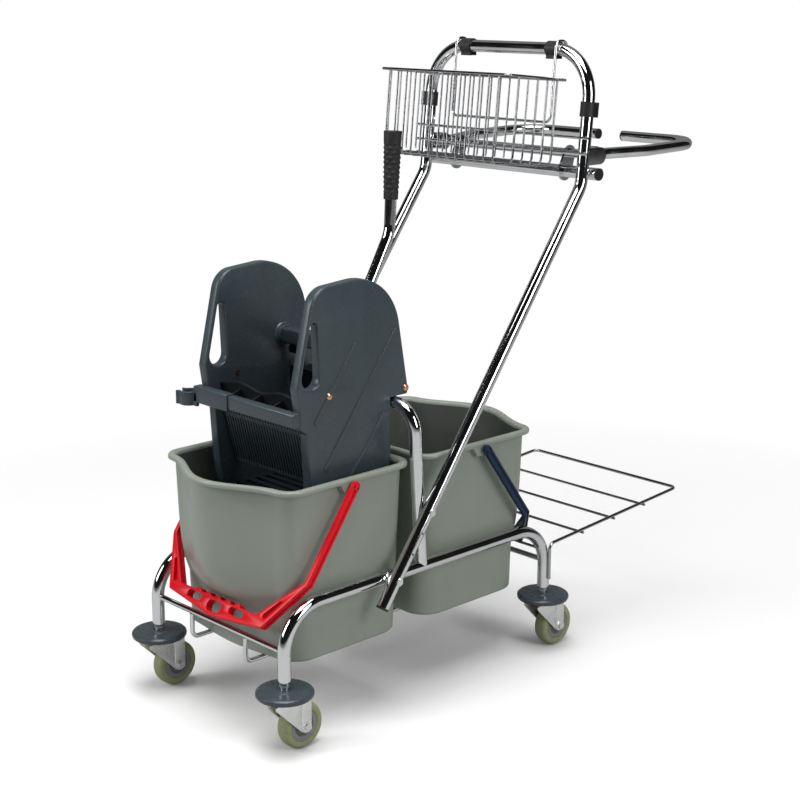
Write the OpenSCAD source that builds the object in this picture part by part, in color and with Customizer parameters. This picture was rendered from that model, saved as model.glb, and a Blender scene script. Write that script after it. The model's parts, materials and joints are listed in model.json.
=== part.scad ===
// Double mop bucket trolley: chromed tube frame on four casters, two buckets with bails,
// a lever wringer over the front bucket, a wire basket, a bag holder and a rear tray.
// Millimetres, +Z up, +Y towards the rear tray, wheels on z = 0.

/* [Frame] */
// Outer diameter of the frame tubes
tube_d = 22; // [20:0.5:24]
// Wall of the frame tubes
tube_wall = 1.5; // [1:0.1:2.5]
// Distance across between the leg axes
track = 344; // [340:1:360]
// Distance along between the front and rear leg axes
wheelbase = 623; // [610:1:660]
// Height of the side rail axis
rail_z = 242; // [230:1:250]
// Bend radius of the side rails
rail_bend_r = 75; // [50:1:90]
// Height of the lower end of the legs
leg_foot_z = 119; // [114:0.5:125]
// Diameter of the crossbar rods
crossbar_d = 10; // [8:0.5:12]
// Height of the crossbar rods
crossbar_z = 173; // [168:1:178]
// Diameter of the cradle wires under the buckets
cradle_d = 8; // [6:0.5:10]
// Spacing of the two cradle wires
cradle_spacing = 146; // [120:1:180]
// Height of the cradle wires where the buckets stand
cradle_z = 125; // [118:1:132]
// Gap left between welded or seated pieces
seat_gap = 0.1; // [0.05:0.05:0.3]

/* [Hoop] */
// Distance of the hoop's feet in front of the frame's middle
hoop_foot_y = -6; // [-9:0.5:-4]
// Distance of the hoop's top bar in front of the frame's middle
hoop_top_y = -24; // [-26:0.5:-22]
// Height of the hoop's top bar
hoop_top_z = 525; // [515:1:535]
// Bend radius of the hoop
hoop_bend_r = 45; // [35:1:50]

/* [Handle] */
// Place of the handle's lower end along the frame
handle_foot_y = -117; // [-125:1:-110]
// Height of the handle's lower end
handle_foot_z = 202; // [196:1:208]
// Place of the handle's bend along the frame
handle_bend_y = 362; // [354:1:368]
// Distance of the handle's bend below the top bar
handle_upright = 233; // [225:1:245]
// Place of the top bar along the frame
handle_top_y = 385; // [380:1:395]
// Height of the top bar
handle_top_z = 1095; // [1080:1:1110]
// Radius of the slight bend
handle_bend_r = 50; // [30:1:60]
// Radius of the top corners
handle_corner_r = 85; // [60:1:100]
// Side gap between the handle and the rails
handle_gap = 0.5; // [0.3:0.1:1]
// Diameter of the handle bolts
bolt_d = 8; // [6:0.5:8]
// Diameter of the small adjusting holes
adjust_hole_d = 4; // [3:0.5:5]
// Width of the plastic clips on the handle
clip_w = 24; // [18:1:26]
// Wall of the plastic clips
clip_wall = 2.6; // [2:0.1:3]
// Distance of the top clips from the middle
clip_x = 105; // [100:1:107]
// Distance of the upright clips below the top bar
clip_drop = 101; // [95:1:110]
// Length of the plastic tube caps inside the tubes
cap_plug = 14; // [8:1:20]
// Thickness of the plastic tube caps outside the tubes
cap_t = 3; // [2:0.5:5]

/* [Buckets] */
// Width across the rim
bucket_rim_w = 340; // [332:1:344]
// Length of the rim without the bow
bucket_rim_len = 271; // [262:1:276]
// Depth of the bow in the outer end wall
bow_depth = 60; // [50:1:64]
// Depth of the bow at the corners
bow_edge = 10; // [6:1:12]
// Half width over which the bow falls to its edge depth
bow_half_w = 148; // [140:1:154]
// Height below the rim at which the bow fades out
bow_drop = 235; // [225:1:245]
// Width across the base
bucket_base_w = 304; // [296:1:308]
// Length of the base
bucket_base_len = 245; // [235:1:250]
// Overall height
bucket_h = 302; // [296:1:304]
// Wall thickness
bucket_wall = 3; // [2.5:0.1:3.5]
// Overhang of the rolled rim
rim_lip = 6; // [4:0.5:7]
// Height of the rolled rim
rim_h = 8; // [6:0.5:10]
// Corner radius at the rim
bucket_corner_r = 36; // [30:1:44]
// Corner radius at the base
bucket_base_corner_r = 45; // [40:1:50]
// Radius between the base and the walls
bucket_base_r = 14; // [12:1:18]
// Distance of the front bucket's inner rim in front of the middle
front_bucket_y = -16; // [-18:0.5:-14]
// Distance of the rear bucket's inner rim behind the middle
rear_bucket_y = 7; // [4:0.5:10]
// Diameter of the bail pivots
bail_pin_d = 10; // [8:0.5:11]
// Distance of the bail pivots from the inner rim
bail_pivot_y = 143; // [138:1:148]
// Distance of the bail pivots below the rim
bail_pivot_drop = 12; // [11:0.5:14]

/* [Bails] */
// Width of the bail's side arms
bail_arm_w = 8; // [6:0.5:9]
// Thickness of the bail
bail_t = 15; // [13:0.5:16]
// Length of the side arms from the pivot
bail_arm_len = 178; // [174:1:184]
// Distance of the grip's lower corners from the pivot
bail_grip_len = 270; // [266:1:276]
// How far the grip's lower edge dips in the middle
bail_belly = 15; // [12:1:18]
// Height of the grip at its corners
bail_grip_h = 17; // [15:0.5:19]
// Half width of the grip at its lower corners
bail_grip_x = 124; // [118:1:130]
// Length of each finger hole
bail_hole_l = 38; // [32:1:42]
// Height of the outer finger holes
bail_hole_h = 12; // [10:0.5:13]
// Height of the middle finger hole
bail_mid_hole_h = 18; // [14:0.5:19]
// Spacing of the finger holes
bail_hole_pitch = 56; // [50:1:60]
// Gap left between a hanging bail and the bends of the rails
bail_rest_gap = 3.2; // [1:0.1:4]
// Side gap between the rim and the bail
bail_gap = 2; // [1:0.1:2.2]
// Radial clearance of the bail on its pivots
pivot_clear = 0.05; // [0.02:0.01:0.1]

/* [Wringer] */
// Width across the outer faces of the side plates
wringer_w = 260; // [250:1:264]
// Thickness of the side plates
plate_t = 20; // [16:0.5:22]
// Height of the lower edge of the side plates
plate_foot_z = 362; // [356:1:368]
// Height of the shaft of the lever
shaft_z = 614; // [610:0.5:618]
// Place of the shaft of the lever along the frame
shaft_y = -68; // [-70:0.5:-66]
// Diameter of the shaft of the lever
shaft_d = 16; // [12:0.5:18]
// Diameter of the bosses round the shaft
boss_d = 32; // [28:1:36]
// Length of the bosses round the shaft
boss_l = 9; // [6:0.5:10]
// Diameter of the jaw's pivot rod and the rivets
tie_d = 8; // [6:0.5:9]
// Place of the front rivets along the frame
front_tie_y = -173; // [-176:0.5:-170]
// Height of the front rivets
front_tie_z = 562; // [558:1:566]
// Place of the jaw's pivot along the frame
jaw_pivot_y = -3; // [-5:0.5:-2]
// Height of the jaw's pivot
jaw_pivot_z = 548; // [547:0.5:550]
// Place of the jaw's pressing face along the frame
jaw_face_y = -62; // [-66:0.5:-58]
// Height of the jaw's lower edge
jaw_foot_z = 386; // [380:1:396]
// Throw of the cranks on the shaft
crank_r = 24; // [20:0.5:26]
// Diameter of the crank rollers
roller_d = 18; // [14:0.5:20]
// Width of the crank rollers
roller_w = 14; // [10:0.5:16]
// Distance of the cranks from the inner faces of the side plates
crank_inset = 25; // [22:1:28]
// Number of slats in the front grille
slat_count = 30; // [24:1:32]
// Width of each slat
slat_w = 4; // [3:0.5:5]
// Height of the front bar
front_bar_h = 24; // [20:1:28]
// Thickness of the front bar
front_bar_t = 15; // [12:0.5:18]
// Inner diameter of the mop handle clip
mop_clip_d = 25; // [22:0.5:27]
// Wall of the mop handle clip
mop_clip_wall = 4; // [3:0.5:5]

/* [Lever] */
// Diameter of the lever tube
lever_d = 20; // [16:0.5:22]
// Distance of the lever from the inner face of the right side plate
lever_inset = 60; // [56:1:70]
// Place of the lever's bend along the frame
lever_bend_y = 36; // [30:1:42]
// Height of the lever's bend
lever_bend_z = 797; // [790:1:810]
// Place of the lever's top along the frame
lever_top_y = 44; // [38:1:48]
// Height of the lever's top
lever_top_z = 964; // [950:1:980]
// Bend radius of the lever
lever_bend_r = 60; // [40:1:80]
// Length of the grip
grip_l = 114; // [100:1:130]
// Diameter of the grip at its top
grip_d = 31; // [28:0.5:34]
// Diameter of the grip at its lower end
grip_low_d = 24; // [23.5:0.5:27]

/* [Basket] */
// Width of the basket
basket_w = 314; // [290:1:330]
// Depth of the basket
basket_depth = 150; // [130:1:160]
// Height of the basket
basket_h = 150; // [130:1:160]
// Distance of the basket's rim below the top bar
basket_drop = 52; // [47:1:57]
// Diameter of the rim and hanger wires
basket_rim_d = 5; // [4:0.5:6]
// Diameter of the basket's thin wires
basket_wire_d = 3.4; // [3:0.1:4]
// Number of wires across the basket
basket_wires_x = 13; // [9:1:15]
// Number of wires along the basket
basket_wires_y = 5; // [3:1:6]
// Distance of the hanger wires from the middle
hanger_x = 122; // [120:0.5:126]
// Distance of the hanger's lower run below the top bar
hanger_drop = 127; // [119:1:135]
// Half length of the two stay wires behind the basket
stay_x = 214; // [208:1:218]

/* [Bag holder] */
// Diameter of the bag arms
bag_d = 20; // [18:0.5:22]
// Diameter of the hinge bar
hinge_bar_d = 16; // [14:0.5:18]
// Height of the hinge bar above the handle's bend
hinge_rise = 51; // [46:1:58]
// Distance of the hinge bar behind the handle tubes
hinge_back = 21; // [19:0.5:25]
// Rise of the bag arms towards the rear
bag_rise = 6; // [0:1:12]
// Place of the rear bar along the frame
bag_rear_y = 680; // [650:1:700]
// Half width across the bag arms
bag_x = 218; // [206:1:230]
// Half gap between the ends of the bag arms
bag_gap = 33; // [25:1:60]
// Radius of the bag arms' rear corners
bag_bend_r = 70; // [60:1:80]
// Length of the bag arms' straight roots
bag_root_l = 30; // [26:1:36]
// Distance behind the hinge at which the bag arms reach their full width
bag_flare_l = 110; // [90:1:130]
// Bend radius of the flare
bag_flare_r = 60; // [50:1:80]
// Height of the lower crossbar above the handle's bend
bag_bar_rise = 22; // [18:1:26]
// Half length of the lower crossbar
bag_bar_x = 213; // [208:1:222]
// Thickness of the bracket plates
bracket_t = 4; // [3:0.5:6]
// Distance of the bracket plates from the middle
bracket_x = 135; // [110:1:150]

/* [Tray] */
// Diameter of the tray's frame wire
tray_d = 6; // [5:0.5:8]
// Diameter of the tray's cross wires
tray_wire_d = 5; // [4:0.5:6]
// Height of the tray at the legs
tray_front_z = 207; // [203:1:212]
// Height of the tray at its rear end
tray_rear_z = 234; // [225:1:245]
// Place of the tray's rear end along the frame
tray_rear_y = 690; // [640:1:695]
// Height of the lower ends of the tray wire
tray_foot_z = 139; // [132:1:145]
// Spacing of the cross wires
tray_pitch = 92; // [80:1:95]

/* [Casters] */
// Diameter of the wheels
wheel_d = 80; // [76:1:82]
// Width of the wheels
wheel_w = 26; // [22:1:28]
// Diameter of the hub inside the tyre
hub_d = 54; // [46:1:58]
// Diameter of the axles
axle_d = 8; // [6:0.5:10]
// Distance of the axle behind the swivel
trail = 30; // [25:0.5:33]
// Diameter of the bumper discs
bumper_d = 96; // [90:1:100]
// Thickness of the bumper discs
bumper_t = 13; // [10:0.5:14]
// Height of the lower face of the bumper discs
bumper_z = 98; // [97:0.5:100]
// Thickness of the fork plates
fork_t = 3; // [2.5:0.1:4]
// Side gap between the wheel and the fork
fork_gap = 2.5; // [2:0.1:3]
// Diameter of the swivel pin
swivel_d = 12; // [10:0.5:13]

/* [Hidden] */
$fn = 48;

chrome_colour = [0.78, 0.79, 0.8];
zinc_colour = [0.7, 0.72, 0.74];
bucket_colour = [0.45, 0.46, 0.44];
slate_colour = [0.2, 0.23, 0.26];
black_colour = [0.1, 0.1, 0.1];
red_colour = [0.75, 0.03, 0.06];
blue_colour = [0.03, 0.09, 0.22];
copper_colour = [0.75, 0.42, 0.25];
tyre_colour = [0.5, 0.51, 0.42];
hub_colour = [0.45, 0.46, 0.47];

// Frame places
leg_x = track / 2;
leg_y = wheelbase / 2;
tube_r = tube_d / 2;
handle_x = leg_x + tube_d + handle_gap;
front_end_y = -leg_y - bumper_d / 2;
rear_end_y = max(bag_rear_y + bag_d / 2, tray_rear_y + tray_d / 2);
middle_y = (front_end_y + rear_end_y) / 2;
run_clear = 0.05;
over = 1;

// Heights that hang from the top bar
handle_bend_z = handle_top_z - handle_upright;
clip_z = handle_top_z - clip_drop;
basket_rim_z = handle_top_z - basket_drop;
hanger_low_z = handle_top_z - hanger_drop;
hinge_z = handle_bend_z + hinge_rise;
bag_rear_z = hinge_z + bag_rise;
bag_bar_z = handle_bend_z + bag_bar_rise;

// Handle line and its bend
handle_low = [handle_foot_y, handle_foot_z];
handle_mid = [handle_bend_y, handle_bend_z];
handle_high = [handle_top_y, handle_top_z];
handle_dir = unit(handle_mid - handle_low);
upright_dir = unit(handle_high - handle_mid);
bag_bar_yz = [upright_y(bag_bar_z), bag_bar_z] + (tube_d + seat_gap) * [upright_dir[1], -upright_dir[0]];
hinge_y = upright_y(hinge_z) + hinge_back + tube_r;

// Where the handle crosses the rail and the hoop
rail_bolt_y = handle_y(rail_z);
hoop_bolt_z = crossing_z();
hoop_bolt_y = handle_y(hoop_bolt_z);

// Bucket places
bucket_floor_z = cradle_z + cradle_d / 2 + seat_gap;
rim_z = bucket_floor_z + bucket_h;
pivot_z = rim_z - bail_pivot_drop;
bail_in_x = bucket_rim_w / 2 + bail_gap;
bail_out_x = bail_in_x + bail_arm_w;

// Hanging bails rest with their slanted sides on the bends of the rails
bail_rest_x = leg_x - tube_r / 2;
bail_slant = (bail_grip_len - bail_arm_len) / (bail_out_x - bail_grip_x);
bail_rest_s = bail_arm_len + (bail_out_x - bail_rest_x) * bail_slant;
bail_rest_r = rail_bend_r + tube_r + bail_t / 2 + bail_rest_gap;
front_pivot_y = front_bucket_y - bail_pivot_y;
rear_pivot_y = rear_bucket_y + bail_pivot_y;
front_hang = hang_angle(front_pivot_y);
rear_hang = hang_angle(rear_pivot_y);

// Wringer places
plate_out_x = wringer_w / 2;
plate_in_x = plate_out_x - plate_t;
crank_x = plate_in_x - crank_inset;
lever_x = plate_in_x - lever_inset;
hook_z = hoop_top_z + tube_r + 0.4;
hook_back_y = hoop_top_y - tube_r - 1.5;
lever_dir = unit([lever_bend_y - shaft_y, lever_bend_z - shaft_z]);

// Caster places
axle_z = wheel_d / 2;
fork_in_x = wheel_w / 2 + fork_gap;
fork_crown_z = bumper_z - 10;
CASTERS = [[leg_x, -leg_y], [-leg_x, -leg_y], [leg_x, leg_y], [-leg_x, leg_y]];

function unit(v) = v / norm(v);
function handle_y(z) = handle_foot_y + (z - handle_foot_z) * (handle_bend_y - handle_foot_y)
    / (handle_bend_z - handle_foot_z);
function upright_y(z) = handle_bend_y + (z - handle_bend_z) * (handle_top_y - handle_bend_y)
    / (handle_top_z - handle_bend_z);
function hoop_y(z) = hoop_foot_y + (z - rail_z) * (hoop_top_y - hoop_foot_y) / (hoop_top_z - rail_z);
// Height at which the slanted handle and the leaning hoop pass each other
function crossing_z() =
    let (handle_slope = (handle_bend_y - handle_foot_y) / (handle_bend_z - handle_foot_z),
         hoop_slope = (hoop_top_y - hoop_foot_y) / (hoop_top_z - rail_z))
    (hoop_foot_y - hoop_slope * rail_z - handle_foot_y + handle_slope * handle_foot_z)
    / (handle_slope - hoop_slope);
// Angle from straight down at which a bail's side touches the bend of a rail
function hang_angle(pivot_y) =
    let (dy = leg_y - rail_bend_r - abs(pivot_y), dz = pivot_z - rail_z + rail_bend_r, d = norm([dy, dz]))
    atan2(dy, dz)
    + acos((bail_rest_s * bail_rest_s + d * d - bail_rest_r * bail_rest_r) / (2 * bail_rest_s * d));
function arc(c, r, from, to, steps) =
    [for (i = [0 : steps]) let (a = from + (to - from) * i / steps) c + r * [cos(a), sin(a)]];
// Four points that join two circles like a belt, a hair inside them
function belt(c1, r1, c2, r2) =
    let (d = c2 - c1, a = atan2(d[1], d[0]), b = acos((r1 - r2) / norm(d)), q1 = r1 - 0.05, q2 = r2 - 0.05)
    [c1 + q1 * [cos(a + b), sin(a + b)], c2 + q2 * [cos(a + b), sin(a + b)],
     c2 + q2 * [cos(a - b), sin(a - b)], c1 + q1 * [cos(a - b), sin(a - b)]];

// Straight round bar between two points
module rod(a, b, d) {
    v = b - a;
    translate(a)
        rotate([0, acos(v[2] / norm(v)), atan2(v[1], v[0])])
            cylinder(h = norm(v), d = d);
}

// Bend and straight runs stop short of each other by joint_gap, and a thin sleeve joins them
joint_gap = 0.05;
sleeve_half = 0.3;
sleeve_lip = 0.04;
module sleeve(at, along, d) rod(at - along * sleeve_half, at + along * sleeve_half, d + sleeve_lip);

// One bend of a round bar at corner b, from a towards c
module bend(a, b, c, r, d) {
    d1 = unit(b - a);
    d2 = unit(c - b);
    turn = acos(d1 * d2);
    axis = unit(cross(d1, d2));
    side = -cross(axis, d1);
    back = r * tan(turn / 2);
    centre = b - d1 * back - side * r;
    skip = joint_gap / r * 180 / PI;
    multmatrix([
        [side[0], d1[0], axis[0], centre[0]],
        [side[1], d1[1], axis[1], centre[1]],
        [side[2], d1[2], axis[2], centre[2]]])
        rotate([0, 0, skip])
            rotate_extrude(angle = turn - 2 * skip)
                translate([r, 0])
                    circle(d = d);
    sleeve(b - d1 * back, d1, d);
    sleeve(b + d2 * back, d2, d);
}

function setback(pts, radii, i) =
    radii[i - 1] * tan(acos(unit(pts[i] - pts[i - 1]) * unit(pts[i + 1] - pts[i])) / 2) + joint_gap;

// Round bar bent along points, with one radius per inner point; grow lengthens both ends
module bent_bar(pts, radii, d, grow = 0) {
    last = len(pts) - 1;
    for (i = [0 : last - 1]) {
        v = unit(pts[i + 1] - pts[i]);
        start = pts[i] + v * (i == 0 ? -grow : setback(pts, radii, i));
        end = pts[i + 1] - v * (i == last - 1 ? -grow : setback(pts, radii, i + 1));
        rod(start, end, d);
    }
    for (i = [1 : last - 1])
        bend(pts[i - 1], pts[i], pts[i + 1], radii[i - 1], d);
}

module bent_tube(pts, radii, d, wall) {
    difference() {
        bent_bar(pts, radii, d);
        bent_bar(pts, radii, d - 2 * wall, over);
    }
}

// Plate in the Y-Z plane, from x0 to x0 + t
module upright_plate(x0, t) {
    translate([x0, 0, 0])
        rotate([90, 0, 90])
            linear_extrude(t)
                children();
}

// Bar across, centred on the given Y and Z
module cross_rod(x0, x1, yz, d) {
    translate([x0, yz[0], yz[1]])
        rotate([0, 90, 0])
            cylinder(h = x1 - x0, d = d);
}

// Side rails, each one tube with its two legs
module side_rail(side) {
    x = side * leg_x;
    color(chrome_colour)
        difference() {
            bent_tube([
                [x, -leg_y, leg_foot_z], [x, -leg_y, rail_z], [x, leg_y, rail_z], [x, leg_y, leg_foot_z]],
                [rail_bend_r, rail_bend_r], tube_d, tube_wall);
            cross_rod(side > 0 ? x : x - tube_d, side > 0 ? x + tube_d : x, [rail_bolt_y, rail_z],
                bolt_d + 2 * seat_gap);
        }
}
module side_rail_right() side_rail(1);
module side_rail_left() side_rail(-1);

// Rod between two legs, its ends shaped to the tubes
module crossbar(y) {
    color(chrome_colour)
        difference() {
            cross_rod(-leg_x, leg_x, [y, crossbar_z], crossbar_d);
            for (side = [-1, 1])
                translate([side * leg_x, y, 0])
                    cylinder(h = rail_z, d = tube_d + 2 * seat_gap);
        }
}
module front_crossbar() crossbar(-leg_y);
module rear_crossbar() crossbar(leg_y);

module cradle_wires() {
    top = crossbar_z - crossbar_d / 2 - seat_gap;
    color(chrome_colour)
        for (side = [-1, 1]) {
            x = side * cradle_spacing / 2;
            bent_bar([[x, -leg_y, top], [x, -leg_y, cradle_z], [x, leg_y, cradle_z], [x, leg_y, top]],
                [cradle_d * 1.5, cradle_d * 1.5], cradle_d);
        }
}

// Hoop that carries the wringer, standing on both rails
module wringer_hoop() {
    color(chrome_colour)
        difference() {
            bent_tube([[leg_x, hoop_foot_y, rail_z], [leg_x, hoop_top_y, hoop_top_z],
                [-leg_x, hoop_top_y, hoop_top_z], [-leg_x, hoop_foot_y, rail_z]],
                [hoop_bend_r, hoop_bend_r], tube_d, tube_wall);
            for (side = [-1, 1])
                translate([side * leg_x, hoop_foot_y, rail_z])
                    rotate([90, 0, 0])
                        cylinder(h = 3 * tube_d, d = tube_d + 2 * seat_gap, center = true);
            bolt_holes();
        }
}

// Holes for the bolts that tie the handle to the hoop
module bolt_holes() {
    cross_rod(-handle_x - tube_d, handle_x + tube_d, [hoop_bolt_y, hoop_bolt_z], bolt_d + 2 * seat_gap);
}

module push_handle() {
    color(chrome_colour)
        difference() {
            bent_tube([
                [handle_x, handle_foot_y, handle_foot_z], [handle_x, handle_bend_y, handle_bend_z],
                [handle_x, handle_top_y, handle_top_z], [-handle_x, handle_top_y, handle_top_z],
                [-handle_x, handle_bend_y, handle_bend_z], [-handle_x, handle_foot_y, handle_foot_z]],
                [handle_bend_r, handle_corner_r, handle_corner_r, handle_bend_r], tube_d, tube_wall);
            bolt_holes();
            cross_rod(-handle_x - tube_d, handle_x + tube_d, [rail_bolt_y, rail_z], bolt_d + 2 * seat_gap);
            for (side = [-1, 1], share = [0.4, 0.7]) {
                z = rail_z + share * (hoop_bolt_z - rail_z);
                cross_rod(side > 0 ? handle_x : -handle_x - tube_d, side > 0 ? handle_x + tube_d : -handle_x,
                    [handle_y(z), z], adjust_hole_d);
            }
        }
}

// Plastic cap: a plug inside the tube and a disc outside, pointing along +Z
module tube_cap(d) {
    plug_d = d - 2 * tube_wall - 2 * seat_gap;
    translate([0, 0, -cap_plug])
        cylinder(h = cap_plug + cap_t / 2, d = plug_d);
    translate([0, 0, seat_gap])
        cylinder(h = cap_t - seat_gap, d = d);
}

module tube_end_caps() {
    color(black_colour)
        for (side = [-1, 1]) {
            translate([side * handle_x, handle_foot_y, handle_foot_z])
                rotate([180 - atan2(handle_dir[0], handle_dir[1]), 0, 0])
                    tube_cap(tube_d);
            translate([side * bag_bar_x, bag_bar_yz[0], bag_bar_yz[1]])
                rotate([0, side * 90, 0])
                    tube_cap(tube_d);
        }
}

// Collars on the rails that the handle is bolted to
module handle_brackets() {
    collar_d = tube_d + 5;
    collar_l = 18;
    color(chrome_colour)
        for (side = [-1, 1])
            difference() {
                translate([side * leg_x, rail_bolt_y, rail_z])
                    rotate([90, 0, 0])
                        cylinder(h = collar_l, d = collar_d, center = true);
                translate([side * leg_x, rail_bolt_y, rail_z])
                    rotate([90, 0, 0])
                        cylinder(h = 2 * collar_l, d = tube_d + 2 * seat_gap, center = true);
                rod([side * handle_x, handle_foot_y, handle_foot_z],
                    [side * handle_x, handle_bend_y, handle_bend_z], tube_d + 2 * seat_gap);
                cross_rod(-handle_x, handle_x, [rail_bolt_y, rail_z], bolt_d + 2 * seat_gap);
            }
}

// Bolt from the outside of the handle inwards, with a flat hex head
module handle_bolt(yz, reach) {
    head_h = 2.5;
    head_x = handle_x + tube_r - 1;
    cross_rod(head_x - reach, head_x + head_h, yz, bolt_d);
    difference() {
        translate([head_x, yz[0], yz[1]])
            rotate([0, 90, 0])
                cylinder(h = head_h, d = 1.7 * bolt_d, $fn = 6);
        rod([handle_x, handle_foot_y, handle_foot_z], [handle_x, handle_bend_y, handle_bend_z],
            tube_d + 2 * seat_gap);
    }
}

module handle_bolts() {
    color(zinc_colour)
        for (side = [0, 1])
            mirror([side, 0, 0]) {
                handle_bolt([rail_bolt_y, rail_z], 1.4 * tube_d);
                handle_bolt([hoop_bolt_y, hoop_bolt_z], 2 * tube_d - 3);
            }
}

// Split plastic ring round a tube that runs along +Z, with a small tab
module clip_ring(w) {
    outer_d = tube_d + 2 * clip_wall;
    difference() {
        union() {
            cylinder(h = w, d = outer_d, center = true);
            translate([-outer_d * 0.3, -outer_d / 2 - 4, -w / 2])
                cube([outer_d * 0.6, outer_d / 2 + 4, w]);
        }
        cylinder(h = w + 2 * over, d = tube_d + 2 * seat_gap, center = true);
        translate([-outer_d * 0.12, -outer_d, -w])
            cube([outer_d * 0.24, outer_d, 2 * w]);
    }
}

module handle_clips() {
    lean = atan2(upright_dir[0], upright_dir[1]);
    color(black_colour)
        for (side = [-1, 1]) {
            translate([side * clip_x, handle_top_y, handle_top_z])
                rotate([0, 90, 0])
                    rotate([0, 0, 90])
                        clip_ring(clip_w);
            translate([side * handle_x, upright_y(clip_z), clip_z])
                rotate([-lean, 0, 0])
                    rotate([0, 0, side * 90])
                        clip_ring(clip_w + 2);
        }
}

// Wire frame of the rear tray, welded to the outside of the rear legs
tray_x = leg_x + tube_r + tray_d / 2 + seat_gap;
function tray_z(y) = tray_front_z + (y - leg_y) * (tray_rear_z - tray_front_z) / (tray_rear_y - leg_y);
module tray_frame() {
    r = 2 * tray_d;
    color(chrome_colour)
        bent_bar([
            [tray_x, leg_y, tray_foot_z], [tray_x, leg_y, tray_front_z], [tray_x, tray_rear_y, tray_rear_z],
            [-tray_x, tray_rear_y, tray_rear_z], [-tray_x, leg_y, tray_front_z], [-tray_x, leg_y, tray_foot_z]],
            [r, r, r, r], tray_d);
}

// Cross wires under the tray frame, and the front one on the rail bends, clear of the hanging bail
module tray_cross_wires() {
    drop = (tray_d + tray_wire_d) / 2 + seat_gap;
    bail_clear = 6;
    bend_inset = 19;
    bail_y = rear_pivot_y + (pivot_z - tray_front_z + drop) * tan(rear_hang);
    front_y = max(leg_y - bend_inset, bail_y - bail_t / 2 / cos(rear_hang) - tray_wire_d / 2 - bail_clear);
    color(chrome_colour) {
        for (i = [1 : 3]) {
            y = leg_y + i * tray_pitch;
            cross_rod(-tray_x - tray_d / 2, tray_x + tray_d / 2, [y, tray_z(y) - drop], tray_wire_d);
        }
        difference() {
            cross_rod(-leg_x, leg_x, [front_y, tray_front_z - drop], tray_wire_d);
            for (side = [-1, 1])
                bent_bar([[side * leg_x, 0, rail_z], [side * leg_x, leg_y, rail_z],
                    [side * leg_x, leg_y, leg_foot_z]], [rail_bend_r], tube_d + 2 * seat_gap);
        }
    }
}

// Bag holder
module bag_crossbar() {
    color(chrome_colour)
        difference() {
            cross_rod(-bag_bar_x, bag_bar_x, bag_bar_yz, tube_d);
            cross_rod(-bag_bar_x - over, bag_bar_x + over, bag_bar_yz, tube_d - 2 * tube_wall);
        }
}

module bag_bracket_plates() {
    hinge = [hinge_y, hinge_z];
    ring = 6;
    color(chrome_colour)
        for (side = [-1, 1])
            upright_plate(side * bracket_x - bracket_t / 2, bracket_t)
                difference() {
                    union() {
                        polygon(belt(bag_bar_yz, tube_r + ring, hinge, hinge_bar_d / 2 + ring));
                        translate(bag_bar_yz) circle(r = tube_r + ring);
                        translate(hinge) circle(r = hinge_bar_d / 2 + ring);
                    }
                    translate(bag_bar_yz) circle(r = tube_r + seat_gap);
                    translate(hinge) circle(r = hinge_bar_d / 2 + run_clear);
                }
}

// Blocks beside the uprights in which the hinge bar turns
block_w = 8;
block_out_x = handle_x + tube_r + 1;
module bag_hinge_blocks() {
    half_h = 15;
    front = upright_y(hinge_z);
    color(chrome_colour)
        for (side = [0, 1])
            mirror([side, 0, 0])
                difference() {
                    translate([block_out_x - block_w, 0, 0]) {
                        translate([0, front, hinge_z - half_h])
                            cube([block_w, hinge_y - front, 2 * half_h]);
                        cross_rod(0, block_w, [hinge_y, hinge_z], 2 * half_h);
                    }
                    rod([handle_x, handle_bend_y, handle_bend_z], [handle_x, handle_top_y, handle_top_z],
                        tube_d + 2 * seat_gap);
                    translate([handle_x - tube_d, front - tube_d, hinge_z - tube_d])
                        cube([2 * tube_d, tube_d, 2 * tube_d]);
                    cross_rod(handle_x - tube_d, handle_x + tube_d, [hinge_y, hinge_z],
                        hinge_bar_d + 2 * run_clear);
                }
}

knuckle_w = 17;
knuckle_gap = 2;
knuckle_x = block_out_x - block_w - knuckle_gap - knuckle_w / 2;
module bag_hinge_bar() {
    color(chrome_colour)
        cross_rod(-block_out_x, block_out_x, [hinge_y, hinge_z], hinge_bar_d);
}

// J-shaped arm with the knuckle at its root
function bag_point(x, back) = [x, hinge_y + back, hinge_z + bag_rise * back / (bag_rear_y - hinge_y)];
module bag_arm(side) {
    knuckle_d = 32;
    root = bag_point(side * knuckle_x, 0);
    hollow = bag_point(side * knuckle_x, bag_root_l / 2);
    straight = bag_point(side * knuckle_x, bag_root_l);
    flare = bag_point(side * bag_x, bag_flare_l);
    corner = bag_point(side * bag_x, bag_rear_y - hinge_y);
    tip = bag_point(side * bag_gap, bag_rear_y - hinge_y);
    radii = [bag_flare_r, bag_flare_r, bag_bend_r];
    color(chrome_colour)
        difference() {
            union() {
                bent_bar([root, straight, flare, corner, tip], radii, bag_d);
                cross_rod(side * knuckle_x - knuckle_w / 2, side * knuckle_x + knuckle_w / 2,
                    [hinge_y, hinge_z], knuckle_d);
            }
            bent_bar([hollow, straight, flare, corner, tip - [side * over, 0, 0]], radii,
                bag_d - 2 * tube_wall);
            cross_rod(side * knuckle_x - knuckle_w, side * knuckle_x + knuckle_w, [hinge_y, hinge_z],
                hinge_bar_d + 2 * seat_gap);
        }
}
module bag_arm_right() bag_arm(1);
module bag_arm_left() bag_arm(-1);

module bag_arm_caps() {
    color(black_colour)
        for (side = [-1, 1])
            translate([side * bag_gap, bag_rear_y, bag_rear_z])
                rotate([0, -side * 90, 0])
                    tube_cap(bag_d);
}

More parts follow.
